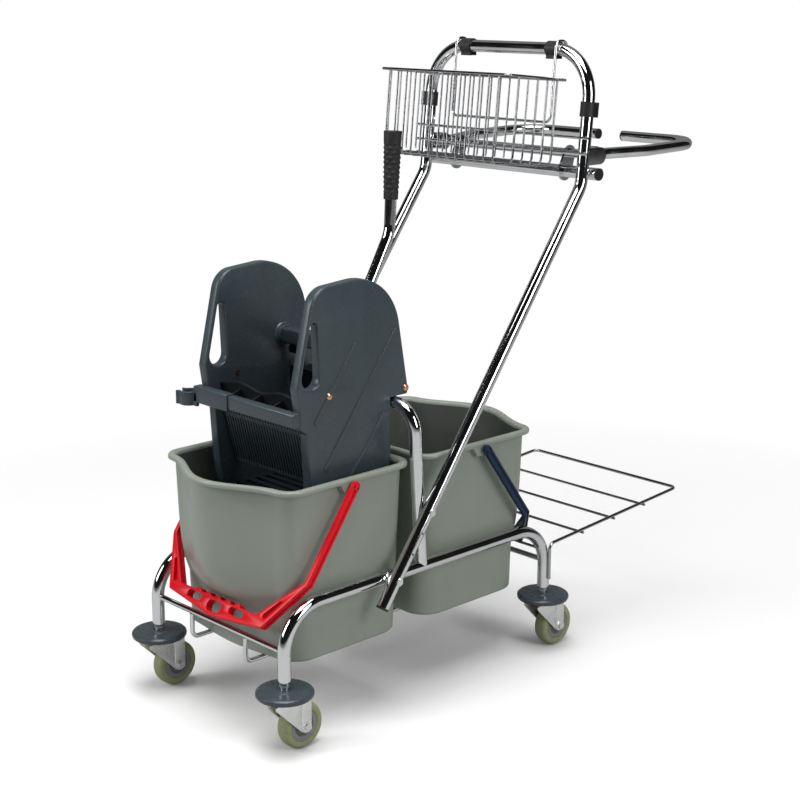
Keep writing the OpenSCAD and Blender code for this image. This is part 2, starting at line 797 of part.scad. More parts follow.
// The basket hangs parallel to the uprights, its frame's origin at the middle of the rear rim
basket_lean = atan2(upright_dir[0], upright_dir[1]);
basket_gap = basket_rim_d / 2 + seat_gap;
function hanger_y(z) = upright_y(z) - (tube_r + basket_gap) / upright_dir[1];
basket_back_y = 0;
basket_front_y = -basket_depth;
basket_low_z = -basket_h;
// U-shaped wire between two points just under the rim
module basket_u(a, b, low) {
    r = 10;
    bent_bar([a, [a[0], a[1], low], [b[0], b[1], low], b], [r, r], basket_wire_d);
}

module wire_basket() {
    x = basket_w / 2;
    r = 8;
    corners = [[x, basket_front_y, 0], [x, basket_back_y, 0], [-x, basket_back_y, 0], [-x, basket_front_y, 0]];
    start = [0, basket_front_y, 0];
    pitch_x = basket_w / (basket_wires_x + 1);
    pitch_y = basket_depth / (basket_wires_y + 1);
    top = -basket_rim_d / 2 - joint_gap;
    color(chrome_colour)
        translate([0, hanger_y(basket_rim_z) - basket_rim_d - seat_gap, basket_rim_z])
            rotate([-basket_lean, 0, 0]) {
                bent_bar(concat([start], corners, [start]), [r, r, r, r], basket_rim_d, -joint_gap);
                sleeve(start, [1, 0, 0], basket_rim_d);
                for (i = [1 : basket_wires_x]) {
                    wx = -x + i * pitch_x;
                    basket_u([wx, basket_front_y, top], [wx, basket_back_y, top], basket_low_z);
                }
                for (i = [1 : basket_wires_y]) {
                    wy = basket_front_y + i * pitch_y;
                    basket_u([-x, wy, top], [x, wy, top], basket_low_z + basket_wire_d + joint_gap);
                }
            }
}

// Hanger hooked over the top bar, and the two stay wires against the uprights
module basket_hanger() {
    hook_r = tube_r + basket_rim_d / 2 + 0.3;
    front_y = handle_top_y - hook_r;
    back_y = handle_top_y + hook_r;
    hook_top = handle_top_z + hook_r;
    low_y = hanger_y(hanger_low_z);
    bend_r = hook_r - 2;
    color(chrome_colour) {
        bent_bar([
            [hanger_x, back_y, handle_top_z - 4], [hanger_x, back_y, hook_top], [hanger_x, front_y, hook_top],
            [hanger_x, low_y, hanger_low_z], [-hanger_x, low_y, hanger_low_z],
            [-hanger_x, front_y, hook_top], [-hanger_x, back_y, hook_top],
            [-hanger_x, back_y, handle_top_z - 4]],
            [bend_r, bend_r, bend_r, bend_r, bend_r, bend_r], basket_rim_d);
        for (z = [hanger_low_z - 22, hanger_low_z - 49])
            cross_rod(-stay_x, stay_x, [hanger_y(z), z], basket_rim_d);
    }
}

// Bucket outline at share t of the height, pulled in by inset, as points round the wall.
// The inner end lies at y = 0 and the bowed end towards -Y.
corner_steps = 5;
bow_steps = 14;
wall_steps = 9;
// Depth of the bow: full down to a crease that arches lower in the middle
function bow_at(x, z) =
    let (s = (1 + cos(180 * min(1, abs(x) / bow_half_w))) / 2,
         fall = (bucket_h - z) / (bow_drop * (1 - 0.3 * pow(x / bow_half_w, 4))))
    (bow_edge + (bow_depth - bow_edge) * s) * max(0, 1 - pow(fall, 4));
function bucket_ring(z, inset) =
    let (t = z / bucket_h,
         half = (bucket_base_w / 2) * (1 - t) + (bucket_rim_w / 2 - rim_lip) * t - inset,
         short = bucket_base_len * (1 - t) + (bucket_rim_len - 2 * rim_lip) * t,
         middle = -bucket_rim_len / 2,
         r = max(bucket_base_corner_r * (1 - t) + (bucket_corner_r - rim_lip) * t - inset, 4),
         flat = half - r,
         y_in = middle + short / 2 - inset,
         y_out = middle - short / 2 + inset,
         y_edge = y_out - bow_at(flat, z))
    concat(
        [for (p = arc([flat, y_in - r], r, 0, 90, corner_steps)) [p[0], p[1], z]],
        [for (p = arc([-flat, y_in - r], r, 90, 180, corner_steps)) [p[0], p[1], z]],
        [for (p = arc([-flat, y_edge + r], r, 180, 270, corner_steps)) [p[0], p[1], z]],
        [for (i = [1 : bow_steps - 1])
            let (x = -flat + 2 * flat * i / bow_steps)
            [x, y_out - bow_at(x, z), z]],
        [for (p = arc([flat, y_edge + r], r, 270, 360, corner_steps)) [p[0], p[1], z]]);
function raised(ring, z) = [for (p = ring) [p[0], p[1], z]];
// Rings in order: under the base, up the outside, over the rim and down the inside
function bucket_rings() =
    let (r = bucket_base_r, inner = bucket_wall, inner_r = r - inner,
         wall_z = [for (k = [1 : wall_steps]) r + (bucket_h - rim_h - r) * k / wall_steps],
         down_z = [for (k = [wall_steps - 1 : -1 : 0]) r + (bucket_h - rim_h - r) * k / wall_steps])
    concat(
        [for (a = [0, 30, 60]) raised(bucket_ring(r, r * (1 - sin(a))), r * (1 - cos(a)))],
        [bucket_ring(r, 0)],
        [for (z = wall_z) bucket_ring(z, 0)],
        [raised(bucket_ring(bucket_h, -rim_lip), bucket_h - rim_h)],
        [raised(bucket_ring(bucket_h, -rim_lip), bucket_h - 3)],
        [raised(bucket_ring(bucket_h, -rim_lip + 3), bucket_h)],
        [raised(bucket_ring(bucket_h, inner), bucket_h)],
        [for (z = down_z) bucket_ring(z, inner)],
        [for (a = [60, 30, 0])
            raised(bucket_ring(r, inner + inner_r * (1 - sin(a))), inner + inner_r * (1 - cos(a)))]);

module bucket_shell() {
    rings = bucket_rings();
    n = len(rings[0]);
    last = len(rings) - 1;
    points = [for (ring = rings) each ring];
    sides = [for (i = [0 : last - 1], k = [0 : n - 1])
        let (j = (k + 1) % n, p = i * n)
        each [[p + k, p + n + k, p + n + j], [p + k, p + n + j, p + j]]];
    under = [for (k = [0 : n - 1]) k];
    floor_face = [for (k = [n - 1 : -1 : 0]) last * n + k];
    polyhedron(points, concat(sides, [under, floor_face]), convexity = 8);
}

// Shell with the two lugs and pins that carry the bail
module bucket() {
    lug_w = 24;
    lug_h = 24;
    lug_in_x = bucket_rim_w / 2 - rim_lip - 1.5;
    z = bucket_h - bail_pivot_drop;
    color(bucket_colour) {
        union() {
            bucket_shell();
            for (side = [0, 1])
                mirror([side, 0, 0]) {
                    translate([lug_in_x - 1, -bail_pivot_y - lug_w / 2, z - lug_h / 2])
                        cube([bail_in_x - 0.8 - lug_in_x, lug_w, lug_h]);
                    cross_rod(lug_in_x, bail_out_x + 0.8, [-bail_pivot_y, z], bail_pin_d);
                }
        }
    }
}

module front_bucket() {
    translate([0, front_bucket_y, bucket_floor_z])
        bucket();
}
module rear_bucket() {
    translate([0, rear_bucket_y, bucket_floor_z])
        rotate([0, 0, 180])
            bucket();
}

// Bail in its own plane, with the pivot axis on the origin and the grip at -Z
bail_band = 23;
bail_bump_r = 9;
module bail_hole(at, l, h) {
    translate(at) {
        square([l - h, h], center = true);
        for (end = [-1, 1])
            translate([end * (l - h) / 2, 0])
                circle(d = h);
    }
}

// Slot that lightens a slanted side, from its narrow to its wide end
module bail_slot() {
    narrow = [bail_grip_x + 18, -bail_grip_len + 50];
    wide = [bail_grip_x - 3, -bail_grip_len + 20];
    narrow_r = 2.5;
    wide_r = 4.5;
    polygon(belt(narrow, narrow_r, wide, wide_r));
    translate(narrow) circle(r = narrow_r);
    translate(wide) circle(r = wide_r);
}

module bail_outline() {
    top = bail_grip_len - bail_grip_h;
    inner_x = bail_grip_x - bail_band;
    shoulder = bail_arm_len - 2;
    mid_z = -bail_grip_len + 2;
    outer_z = -bail_grip_len + bail_grip_h * 0.4;
    difference() {
        union() {
            difference() {
                polygon([[-bail_out_x, 0], [-bail_out_x, -bail_arm_len], [-bail_grip_x, -bail_grip_len],
                    [0, -bail_grip_len - bail_belly], [bail_grip_x, -bail_grip_len],
                    [bail_out_x, -bail_arm_len], [bail_out_x, 0]]);
                polygon([[-bail_in_x, over], [-bail_in_x, -shoulder], [-inner_x, -top], [inner_x, -top],
                    [bail_in_x, -shoulder], [bail_in_x, over]]);
            }
            for (i = [-2 : 2])
                translate([i * bail_hole_pitch / 2.15, -top - bail_bump_r + 5])
                    circle(r = bail_bump_r);
        }
        bail_hole([0, mid_z], bail_hole_l - 2, bail_mid_hole_h);
        for (side = [0, 1])
            mirror([side, 0]) {
                bail_hole([bail_hole_pitch, outer_z], bail_hole_l, bail_hole_h);
                bail_slot();
            }
    }
}

module bail() {
    difference() {
        union() {
            translate([0, bail_t / 2, 0])
                rotate([90, 0, 0])
                    linear_extrude(bail_t)
                        bail_outline();
            for (side = [0, 1])
                mirror([side, 0, 0])
                    cross_rod(bail_in_x, bail_out_x, [0, 0], bail_t);
        }
        cross_rod(-bail_out_x - over, bail_out_x + over, [0, 0], bail_pin_d + 2 * pivot_clear);
    }
}

module front_bail() {
    color(red_colour)
        translate([0, front_pivot_y, pivot_z])
            rotate([-front_hang, 0, 0])
                bail();
}
module rear_bail() {
    color(blue_colour)
        translate([0, rear_pivot_y, pivot_z])
            rotate([rear_hang, 0, 0])
                bail();
}

// Wringer side plate, seen from the side: front to the left
front_top = [-171, 702];
front_top_r = 40;
dome = [-115, 646];
dome_r = 100;
teardrop_low = [-211, 597];
teardrop_low_r = 18;
teardrop_high = [-203, 679];
teardrop_high_r = 7;
plate_front_y = -235;
module plate_outline() {
    difference() {
        polygon(concat(
            [[hook_back_y, plate_foot_z], [-208, plate_foot_z], [-216, 420], [-221, 506],
             [plate_front_y, 516], [plate_front_y, 547], [-239, 574]],
            arc([-227, 582], 13, 185, 167, 3),
            arc(front_top, front_top_r, 167, 96, 8),
            arc(dome, dome_r, 92, 9, 16),
            [[3, 552], [3, hook_z + 2], [0, hook_z], [hook_back_y, hook_z]]));
        polygon(belt(teardrop_low, teardrop_low_r, teardrop_high, teardrop_high_r));
        translate(teardrop_low) circle(r = teardrop_low_r);
        translate(teardrop_high) circle(r = teardrop_high_r);
    }
}

// Embossed ribs on the outer face, from one point to the other
plate_ribs = [[[-115, 640], [-203, 523]], [[-25, 652], [-183, 442]], [[-52, 511], [-126, 421]]];
head_d = 1.5 * tie_d;
module wringer_plate(side) {
    rib_w = 7;
    rib_h = 1.2;
    boss_end = plate_in_x - boss_l;
    color(slate_colour)
        mirror([side > 0 ? 0 : 1, 0, 0])
            difference() {
                union() {
                    upright_plate(plate_in_x, plate_t)
                        plate_outline();
                    cross_rod(boss_end, plate_in_x + over, [shaft_y, shaft_z], boss_d);
                    for (rib = plate_ribs)
                        upright_plate(plate_out_x - over, over + rib_h) {
                            translate(rib[0]) circle(d = rib_w);
                            translate(rib[1]) circle(d = rib_w);
                            polygon(belt(rib[0], rib_w / 2, rib[1], rib_w / 2));
                        }
                }
                cross_rod(boss_end - over, plate_in_x + plate_t / 2, [shaft_y, shaft_z],
                    shaft_d + 2 * run_clear);
                for (p = [[front_tie_y, front_tie_z], [jaw_pivot_y, jaw_pivot_z]])
                    cross_rod(plate_in_x - over, plate_out_x + over, p, tie_d + 2 * seat_gap);
                for (p = [[front_tie_y, front_tie_z], [jaw_pivot_y, jaw_pivot_z]])
                    cross_rod(plate_out_x, plate_out_x + 2 * rib_h, p, head_d + 2 * seat_gap);
            }
}
module wringer_plate_right() wringer_plate(1);
module wringer_plate_left() wringer_plate(-1);

inside_x = plate_in_x - seat_gap;
bar_face_y = plate_front_y - seat_gap - front_bar_t;
bar_low_z = 521;
module wringer_front_bar() {
    color(slate_colour)
        translate([-plate_out_x, bar_face_y, bar_low_z])
            cube([wringer_w, front_bar_t, front_bar_h]);
}

// The grille and the fixed press plate lean forward together, from under the back of the front bar
front_lean = 13;
lean_y = bar_face_y + 39;
lean_z = bar_low_z - 3.2;
module leaning() {
    translate([0, lean_y, lean_z])
        rotate([front_lean, 0, 0])
            children();
}

// Upright slats below the front bar, tied to the side plates by two rails
slat_t = 5;
slat_len = 113;
rail_back = slat_t + 3;
module wringer_grille() {
    rail_t = 7;
    margin = 8;
    pitch = 2 * (inside_x - margin) / (slat_count - 1);
    color(slate_colour)
        leaning() {
            for (i = [0 : slat_count - 1])
                translate([-inside_x + margin + i * pitch - slat_w / 2, 0, -slat_len])
                    cube([slat_w, slat_t, slat_len]);
            for (z = [-slat_len, -26])
                translate([-inside_x, rail_back - rail_t, z])
                    cube([2 * inside_x, rail_t, rail_t]);
        }
}

// Fixed press plate behind the grille: a panel with a wavy upper edge, and ribs towards the front bar
module front_press_plate() {
    x = inside_x;
    t = 5;
    front = rail_back + seat_gap;
    top = 36;
    wave = 4.5;
    waves = 2;
    steps = 32;
    low = -slat_len + 6;
    rib_t = 3;
    rib_low_z = bar_low_z + 4;
    rib_top_z = bar_low_z + front_bar_h + 4;
    bar_back_y = bar_face_y + front_bar_t + seat_gap;
    function panel_y(z) = lean_y + (front + t / 2) / cos(front_lean) - (z - lean_z) * tan(front_lean);
    color(slate_colour)
        union() {
            leaning()
                translate([0, front + t, 0])
                    rotate([90, 0, 0])
                        linear_extrude(t)
                            polygon(concat([[-x, low], [x, low]],
                                [for (i = [steps : -1 : 0])
                                    [-x + 2 * x * i / steps, top - wave * cos(360 * waves * i / steps)]]));
            for (i = [-1 : 1])
                upright_plate(i * x / 2 - rib_t / 2, rib_t)
                    polygon([[bar_back_y, rib_low_z], [bar_back_y, rib_top_z - 9],
                        [panel_y(rib_top_z), rib_top_z], [panel_y(rib_low_z), rib_low_z]]);
        }
}

// Slotted floor that ties the plates together and lets water through
module wringer_floor() {
    t = 5;
    slots = 8;
    front = -204;
    depth = hook_back_y - front - 2;
    pitch = depth / slots;
    color(slate_colour)
        difference() {
            translate([-inside_x, front, plate_foot_z + 4])
                cube([2 * inside_x, depth, t]);
            for (i = [0 : slots - 1])
                translate([-inside_x + 16, front + (i + 0.35) * pitch, plate_foot_z])
                    cube([2 * inside_x - 32, pitch * 0.45, 4 * t]);
        }
}

// Sleeve over the left end of the front bar, with a split ring for a mop handle
module mop_clip() {
    wall = 2.5;
    sleeve_x0 = -plate_out_x + 1;
    sleeve_x1 = -38;
    outer_d = mop_clip_d + 2 * mop_clip_wall;
    ring_x = -plate_out_x - outer_d / 2 - 1;
    ring_y = bar_face_y + 2;
    ring_z = bar_low_z - 9;
    color(slate_colour)
        difference() {
            union() {
                translate([sleeve_x0, bar_face_y - wall, bar_low_z - wall])
                    cube([sleeve_x1 - sleeve_x0, wall + 4, front_bar_h + wall]);
                translate([sleeve_x0, bar_face_y - wall, bar_low_z + front_bar_h - wall])
                    cube([sleeve_x1 - sleeve_x0, front_bar_t, 2 * wall]);
                translate([ring_x, bar_face_y - wall, ring_z])
                    cube([sleeve_x0 - ring_x + 8, 6, front_bar_h]);
                translate([ring_x, ring_y, ring_z])
                    cylinder(h = front_bar_h, d = outer_d);
            }
            translate([sleeve_x0 - over, bar_face_y - seat_gap, bar_low_z - seat_gap])
                cube([sleeve_x1 - sleeve_x0 + 2 * over, 2 * front_bar_t, front_bar_h + 2 * seat_gap]);
            translate([ring_x, ring_y, ring_z - over])
                cylinder(h = front_bar_h + 2 * over, d = mop_clip_d);
            translate([ring_x, ring_y, ring_z - over])
                rotate([0, 0, 200])
                    translate([0, -mop_clip_d * 0.34, 0])
                        cube([outer_d, mop_clip_d * 0.68, front_bar_h + 2 * over]);
        }
}

// Pivot rod of the jaw through both plates, and a rivet in each plate near the front
module wringer_pins() {
    head_h = 3;
    color(copper_colour) {
        cross_rod(-plate_out_x - 1, plate_out_x + 1, [jaw_pivot_y, jaw_pivot_z], tie_d);
        for (side = [0, 1])
            mirror([side, 0, 0]) {
                cross_rod(plate_in_x - 2, plate_out_x + 1, [front_tie_y, front_tie_z], tie_d);
                for (p = [[front_tie_y, front_tie_z], [jaw_pivot_y, jaw_pivot_z]])
                    translate([plate_out_x + seat_gap, p[0], p[1]])
                        rotate([0, 90, 0])
                            cylinder(h = head_h, d1 = head_d, d2 = head_d * 0.6);
            }
    }
}

// Moving jaw: a ribbed pressing plate hung from two ears on the rear tie rod
module press_jaw() {
    x = inside_x - 8;
    t = 5;
    rib_depth = 12;
    top_z = jaw_pivot_z + 8;
    ear_r = 8.5;
    ear_w = 10;
    back_y = jaw_face_y + t + rib_depth;
    tail_y = roller_track_y() + 0.5;
    color(slate_colour)
        difference() {
            union() {
                translate([-x, jaw_face_y, jaw_foot_z])
                    cube([2 * x, t, top_z - jaw_foot_z]);
                for (z = [jaw_foot_z, (jaw_foot_z + top_z) / 2 - 10, top_z - 46])
                    translate([-x, jaw_face_y + t - over, z])
                        cube([2 * x, rib_depth, 4]);
                for (i = [-2 : 2])
                    translate([i * 42 - 2, jaw_face_y + t - over, jaw_foot_z])
                        cube([4, rib_depth, top_z - jaw_foot_z - 42]);
                for (side = [-1, 1]) {
                    ear_x = side * crank_x;
                    translate([ear_x - ear_w / 2, jaw_face_y + over, jaw_pivot_z - ear_r])
                        cube([ear_w, jaw_pivot_y - jaw_face_y - over, 2 * ear_r]);
                    cross_rod(ear_x - ear_w / 2, ear_x + ear_w / 2, [jaw_pivot_y, jaw_pivot_z], 2 * ear_r);
                    translate([ear_x - ear_w / 2, tail_y, jaw_pivot_z])
                        cube([ear_w, back_y - tail_y, shaft_z - crank_r * 0.6 - jaw_pivot_z]);
                }
            }
            cross_rod(-x - over, x + over, [jaw_pivot_y, jaw_pivot_z], tie_d + 2 * run_clear);
        }
}

// Crank angles from straight down, and the rearmost reach of the roller in the jaw's own frame
crank_rest = 10;
lever_sweep = 70;
jaw_ratio = 0.4;
function roller_in_jaw(turn) =
    let (a = crank_rest + turn,
         p = [shaft_y + crank_r * sin(a) - jaw_pivot_y, shaft_z - crank_r * cos(a) - jaw_pivot_z],
         b = jaw_ratio * turn)
    jaw_pivot_y + p[0] * cos(b) - p[1] * sin(b);
function roller_track_y() = roller_d / 2 + max([for (turn = [0 : 5 : lever_sweep]) roller_in_jaw(turn)]);

crank_pin = [shaft_y + crank_r * sin(crank_rest), shaft_z - crank_r * cos(crank_rest)];
module lever_shaft() {
    color(zinc_colour)
        cross_rod(-plate_in_x - plate_t / 2 + 1, plate_in_x + plate_t / 2 - 1, [shaft_y, shaft_z], shaft_d);
}

// Crank cheeks beside the rollers, with the roller pins
module lever_cranks() {
    cheek_t = 4;
    pin_d = 6;
    cheek_r = shaft_d / 2 + 4;
    pin_r = pin_d / 2 + 3;
    color(zinc_colour)
        for (side = [-1, 1]) {
            near_x = crank_x - roller_w / 2 - cheek_t - 0.3;
            mirror([side > 0 ? 0 : 1, 0, 0])
                difference() {
                    union() {
                        cross_rod(near_x, near_x + cheek_t, [shaft_y, shaft_z], 2 * cheek_r);
                        cross_rod(near_x, crank_x + roller_w / 2 + 1, crank_pin, pin_d);
                        translate([near_x, shaft_y, shaft_z])
                            rotate([crank_rest, 0, 0])
                                translate([0, -pin_r, -crank_r - pin_r])
                                    cube([cheek_t, 2 * pin_r, crank_r + pin_r]);
                    }
                    cross_rod(near_x - over, near_x + cheek_t + over, [shaft_y, shaft_z],
                        shaft_d + 2 * seat_gap);
                }
        }
}

module crank_rollers() {
    pin_d = 6;
    color(slate_colour)
        for (side = [-1, 1])
            difference() {
                cross_rod(side * crank_x - roller_w / 2, side * crank_x + roller_w / 2, crank_pin, roller_d);
                cross_rod(side * crank_x - roller_w, side * crank_x + roller_w, crank_pin,
                    pin_d + 2 * seat_gap);
            }
}

// Socket on the shaft that holds the lever tube
hub_len = 30;
socket_len = 52;
lever_root = 15;
module lever_hub() {
    wall = 4;
    socket_end = [lever_x, shaft_y + lever_dir[0] * socket_len, shaft_z + lever_dir[1] * socket_len];
    tube_start = [lever_x, shaft_y + lever_dir[0] * lever_root, shaft_z + lever_dir[1] * lever_root];
    beyond = [lever_x, shaft_y + lever_dir[0] * 2 * socket_len, shaft_z + lever_dir[1] * 2 * socket_len];
    color(slate_colour)
        difference() {
            union() {
                cross_rod(lever_x - hub_len / 2, lever_x + hub_len / 2, [shaft_y, shaft_z], shaft_d + 12);
                rod([lever_x, shaft_y, shaft_z], socket_end, lever_d + 2 * wall);
            }
            cross_rod(lever_x - hub_len, lever_x + hub_len, [shaft_y, shaft_z], shaft_d + 2 * seat_gap);
            rod(tube_start, beyond, lever_d + 2 * seat_gap);
        }
}

module lever_tube() {
    start = [lever_x, shaft_y + lever_dir[0] * (lever_root + 0.5), shaft_z + lever_dir[1] * (lever_root + 0.5)];
    color(chrome_colour)
        bent_tube([start, [lever_x, lever_bend_y, lever_bend_z], [lever_x, lever_top_y, lever_top_z]],
            [lever_bend_r], lever_d, tube_wall);
}

// Moulded grip with rows of low rings, closed at the top
module lever_grip() {
    rise = unit([lever_top_y - lever_bend_y, lever_top_z - lever_bend_z]);
    lean = atan2(rise[0], rise[1]);
    ring_count = 9;
    ring_pitch = (grip_l - 24) / ring_count;
    top_wall = 4;
    bore = lever_d / 2 + seat_gap;
    radius_low = grip_low_d / 2;
    radius_top = grip_d / 2;
    color(black_colour)
        translate([lever_x, lever_top_y, lever_top_z])
            rotate([-lean, 0, 0])
                rotate_extrude()
                    polygon(concat(
                        [[bore, top_wall - grip_l], [radius_low, top_wall - grip_l]],
                        [for (i = [0 : ring_count - 1], k = [0, 1])
                            let (z = top_wall - grip_l + 6 + (i + k * 0.5) * ring_pitch,
                                 r = radius_low + (radius_top - radius_low) * (i + 0.5) / ring_count)
                            [r + k * 0.8, z]],
                        [[radius_top, -12], [radius_top, top_wall - 2], [radius_top - 2, top_wall],
                         [0, top_wall], [0, seat_gap], [bore, seat_gap]]));
}

// Stems pushed into the legs, with a collar above the disc and a pin below it
module caster_stems() {
    plug_d = tube_d - 2 * tube_wall - 2 * seat_gap;
    plug_l = 35;
    collar_d = 15;
    head_h = 4;
    disc_top = bumper_z + bumper_t;
    color(zinc_colour)
        for (p = CASTERS)
            translate([p[0], p[1], 0]) {
                translate([0, 0, disc_top + 4])
                    cylinder(h = leg_foot_z - disc_top - 4 + plug_l, d = plug_d);
                translate([0, 0, bumper_z])
                    cylinder(h = bumper_t + 5, d = collar_d);
                translate([0, 0, fork_crown_z - head_h])
                    cylinder(h = bumper_z - fork_crown_z + head_h + over, d = swivel_d);
                translate([0, 0, fork_crown_z - head_h - 0.3])
                    cylinder(h = head_h, d = swivel_d + 8);
            }
}

// Round bumper discs with a raised middle
module bumper_discs() {
    edge = 4;
    r = bumper_d / 2;
    collar_d = 15;
    color(slate_colour)
        for (p = CASTERS)
            translate([p[0], p[1], bumper_z])
                difference() {
                    rotate_extrude()
                        polygon(concat([[0, 0]], arc([r - edge, edge], edge, -90, 0, 4),
                            arc([r - edge, bumper_t - edge - 2], edge, 0, 90, 4),
                            [[22, bumper_t - 1.5], [20, bumper_t], [0, bumper_t]]));
                    translate([0, 0, -over])
                        cylinder(h = 2 * bumper_t, d = collar_d + 2 * seat_gap);
                }
}

// Pressed fork: two cheeks, a crown and the swivel race
module fork(place) {
    cheek_r = 11;
    race_d = 40;
    crown_t = 4;
    crown_top = fork_crown_z + crown_t;
    half = fork_in_x + fork_t;
    front = -22;
    color(zinc_colour)
        translate([place[0], place[1], 0])
            difference() {
                union() {
                    for (side = [-1, 1])
                        upright_plate(side > 0 ? fork_in_x : -half, fork_t)
                            polygon(concat([[front, crown_top], [front, fork_crown_z - 8]],
                                arc([trail, axle_z], cheek_r, 218, 360, 10), [[trail + cheek_r, crown_top]]));
                    translate([-half, front, fork_crown_z])
                        cube([2 * half, trail + cheek_r - front, crown_t]);
                    translate([0, 0, fork_crown_z])
                        cylinder(h = bumper_z - 0.3 - fork_crown_z, d = race_d);
                }
                translate([0, 0, fork_crown_z - over])
                    cylinder(h = 30, d = swivel_d + 2 * run_clear);
                cross_rod(-half - over, half + over, [trail, axle_z], axle_d + 2 * seat_gap);
            }
}

module axle(place) {
    half = fork_in_x + fork_t;
    head_h = 5;
    color(zinc_colour)
        translate([place[0], place[1] + trail, axle_z]) {
            cross_rod(-half - head_h, half + head_h, [0, 0], axle_d);
            for (side = [-1, 1])
                translate([side > 0 ? half + seat_gap : -half - head_h, 0, 0])
                    rotate([0, 90, 0])
                        cylinder(h = head_h - seat_gap, d = 1.7 * axle_d, $fn = 6);
        }
}

// Wheel centre with a dished web
module wheel_hub(place) {
    half = wheel_w / 2;
    rim_r = hub_d / 2;
    boss_r = axle_d / 2 + 7;
    bore_r = axle_d / 2 + run_clear;
    color(hub_colour)
        translate([place[0], place[1] + trail, axle_z])
            rotate([0, 90, 0])
                rotate_extrude()
                    polygon([[bore_r, -half - 1.5], [boss_r, -half - 1.5], [boss_r + 1, -5], [rim_r - 5, -5],
                        [rim_r - 4, -half + 2], [rim_r, -half + 2], [rim_r, half - 2], [rim_r - 4, half - 2],
                        [rim_r - 5, 5], [boss_r + 1, 5], [boss_r, half + 1.5], [bore_r, half + 1.5]]);
}

module tyre(place) {
    half = wheel_w / 2;
    inner_r = hub_d / 2 + run_clear;
    outer_r = wheel_d / 2;
    round_r = 7;
    color(tyre_colour)
        translate([place[0], place[1] + trail, axle_z])
            rotate([0, 90, 0])
                rotate_extrude()
                    polygon(concat([[inner_r, -half + 2], [inner_r + 3, -half]],
                        arc([outer_r - round_r, -half + round_r], round_r, -90, 0, 5),
                        arc([outer_r - round_r, half - round_r], round_r, 0, 90, 5),
                        [[inner_r + 3, half], [inner_r, half - 2]]));
}

module placed() {
    translate([0, -middle_y, 0])
        children();
}

placed() side_rail_right();
placed() side_rail_left();
placed() front_crossbar();
placed() rear_crossbar();
placed() cradle_wires();
placed() wringer_hoop();
placed() push_handle();
placed() tube_end_caps();
placed() handle_brackets();
placed() handle_bolts();
placed() handle_clips();
placed() tray_frame();
placed() tray_cross_wires();
placed() bag_crossbar();
placed() bag_bracket_plates();
placed() bag_hinge_blocks();
placed() bag_hinge_bar();
placed() bag_arm_right();
placed() bag_arm_left();
placed() bag_arm_caps();
placed() wire_basket();
placed() basket_hanger();
placed() front_bucket();
placed() rear_bucket();
placed() front_bail();
placed() rear_bail();
placed() wringer_plate_right();
placed() wringer_plate_left();
placed() wringer_front_bar();
placed() wringer_grille();
placed() front_press_plate();
placed() wringer_floor();
placed() mop_clip();
placed() wringer_pins();
placed() press_jaw();
placed() lever_shaft();
placed() lever_cranks();
placed() crank_rollers();
placed() lever_hub();
placed() lever_tube();
placed() lever_grip();
placed() caster_stems();
placed() bumper_discs();
placed() fork(CASTERS[0]);  // fork_front_right
placed() axle(CASTERS[0]);  // axle_front_right
placed() wheel_hub(CASTERS[0]);  // hub_front_right
placed() tyre(CASTERS[0]);  // tyre_front_right
placed() fork(CASTERS[1]);  // fork_front_left
placed() axle(CASTERS[1]);  // axle_front_left
placed() wheel_hub(CASTERS[1]);  // hub_front_left
placed() tyre(CASTERS[1]);  // tyre_front_left
placed() fork(CASTERS[2]);  // fork_rear_right
placed() axle(CASTERS[2]);  // axle_rear_right
placed() wheel_hub(CASTERS[2]);  // hub_rear_right
placed() tyre(CASTERS[2]);  // tyre_rear_right
placed() fork(CASTERS[3]);  // fork_rear_left
placed() axle(CASTERS[3]);  // axle_rear_left
placed() wheel_hub(CASTERS[3]);  // hub_rear_left
placed() tyre(CASTERS[3]);  // tyre_rear_left
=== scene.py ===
"""Looks of the double mop bucket trolley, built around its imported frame.

Shapes are drawn in millimetres in the trolley's own frame: x across, y along from the middle
of the wheelbase (front to the minus side), z up from the floor. They are placed in metres.
"""
import json
import math

import bpy
import bmesh
from mathutils import Matrix, Vector
from mathutils.geometry import tessellate_polygon


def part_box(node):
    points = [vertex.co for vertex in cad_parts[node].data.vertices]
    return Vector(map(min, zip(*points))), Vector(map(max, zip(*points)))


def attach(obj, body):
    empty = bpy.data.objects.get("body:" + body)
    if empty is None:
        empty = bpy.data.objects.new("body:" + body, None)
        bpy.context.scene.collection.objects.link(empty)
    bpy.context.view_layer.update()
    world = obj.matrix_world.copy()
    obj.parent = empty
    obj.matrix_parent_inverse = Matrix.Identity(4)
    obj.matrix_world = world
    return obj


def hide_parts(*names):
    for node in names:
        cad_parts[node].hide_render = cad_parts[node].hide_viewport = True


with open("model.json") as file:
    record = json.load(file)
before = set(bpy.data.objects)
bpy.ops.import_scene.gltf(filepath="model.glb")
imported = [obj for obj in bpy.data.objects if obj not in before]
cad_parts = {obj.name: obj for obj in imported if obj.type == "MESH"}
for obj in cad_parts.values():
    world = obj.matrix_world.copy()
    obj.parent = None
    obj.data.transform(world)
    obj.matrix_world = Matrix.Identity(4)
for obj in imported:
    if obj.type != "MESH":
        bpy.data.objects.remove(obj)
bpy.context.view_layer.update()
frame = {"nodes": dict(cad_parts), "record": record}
nodes = frame["nodes"]

rail_low, rail_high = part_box("side_rail_right")
MIDDLE_Y = (rail_low.y + rail_high.y) / 2
TO_FRAME = Matrix.Translation((0, MIDDLE_Y, 0)) @ Matrix.Scale(0.001, 4)


def new_object(name, data):
    """Object with the given data, linked into the scene."""
    made = bpy.data.objects.new(name, data)
    bpy.context.scene.collection.objects.link(made)
    return made


# Camera at the photograph's viewing angle, in metres and degrees

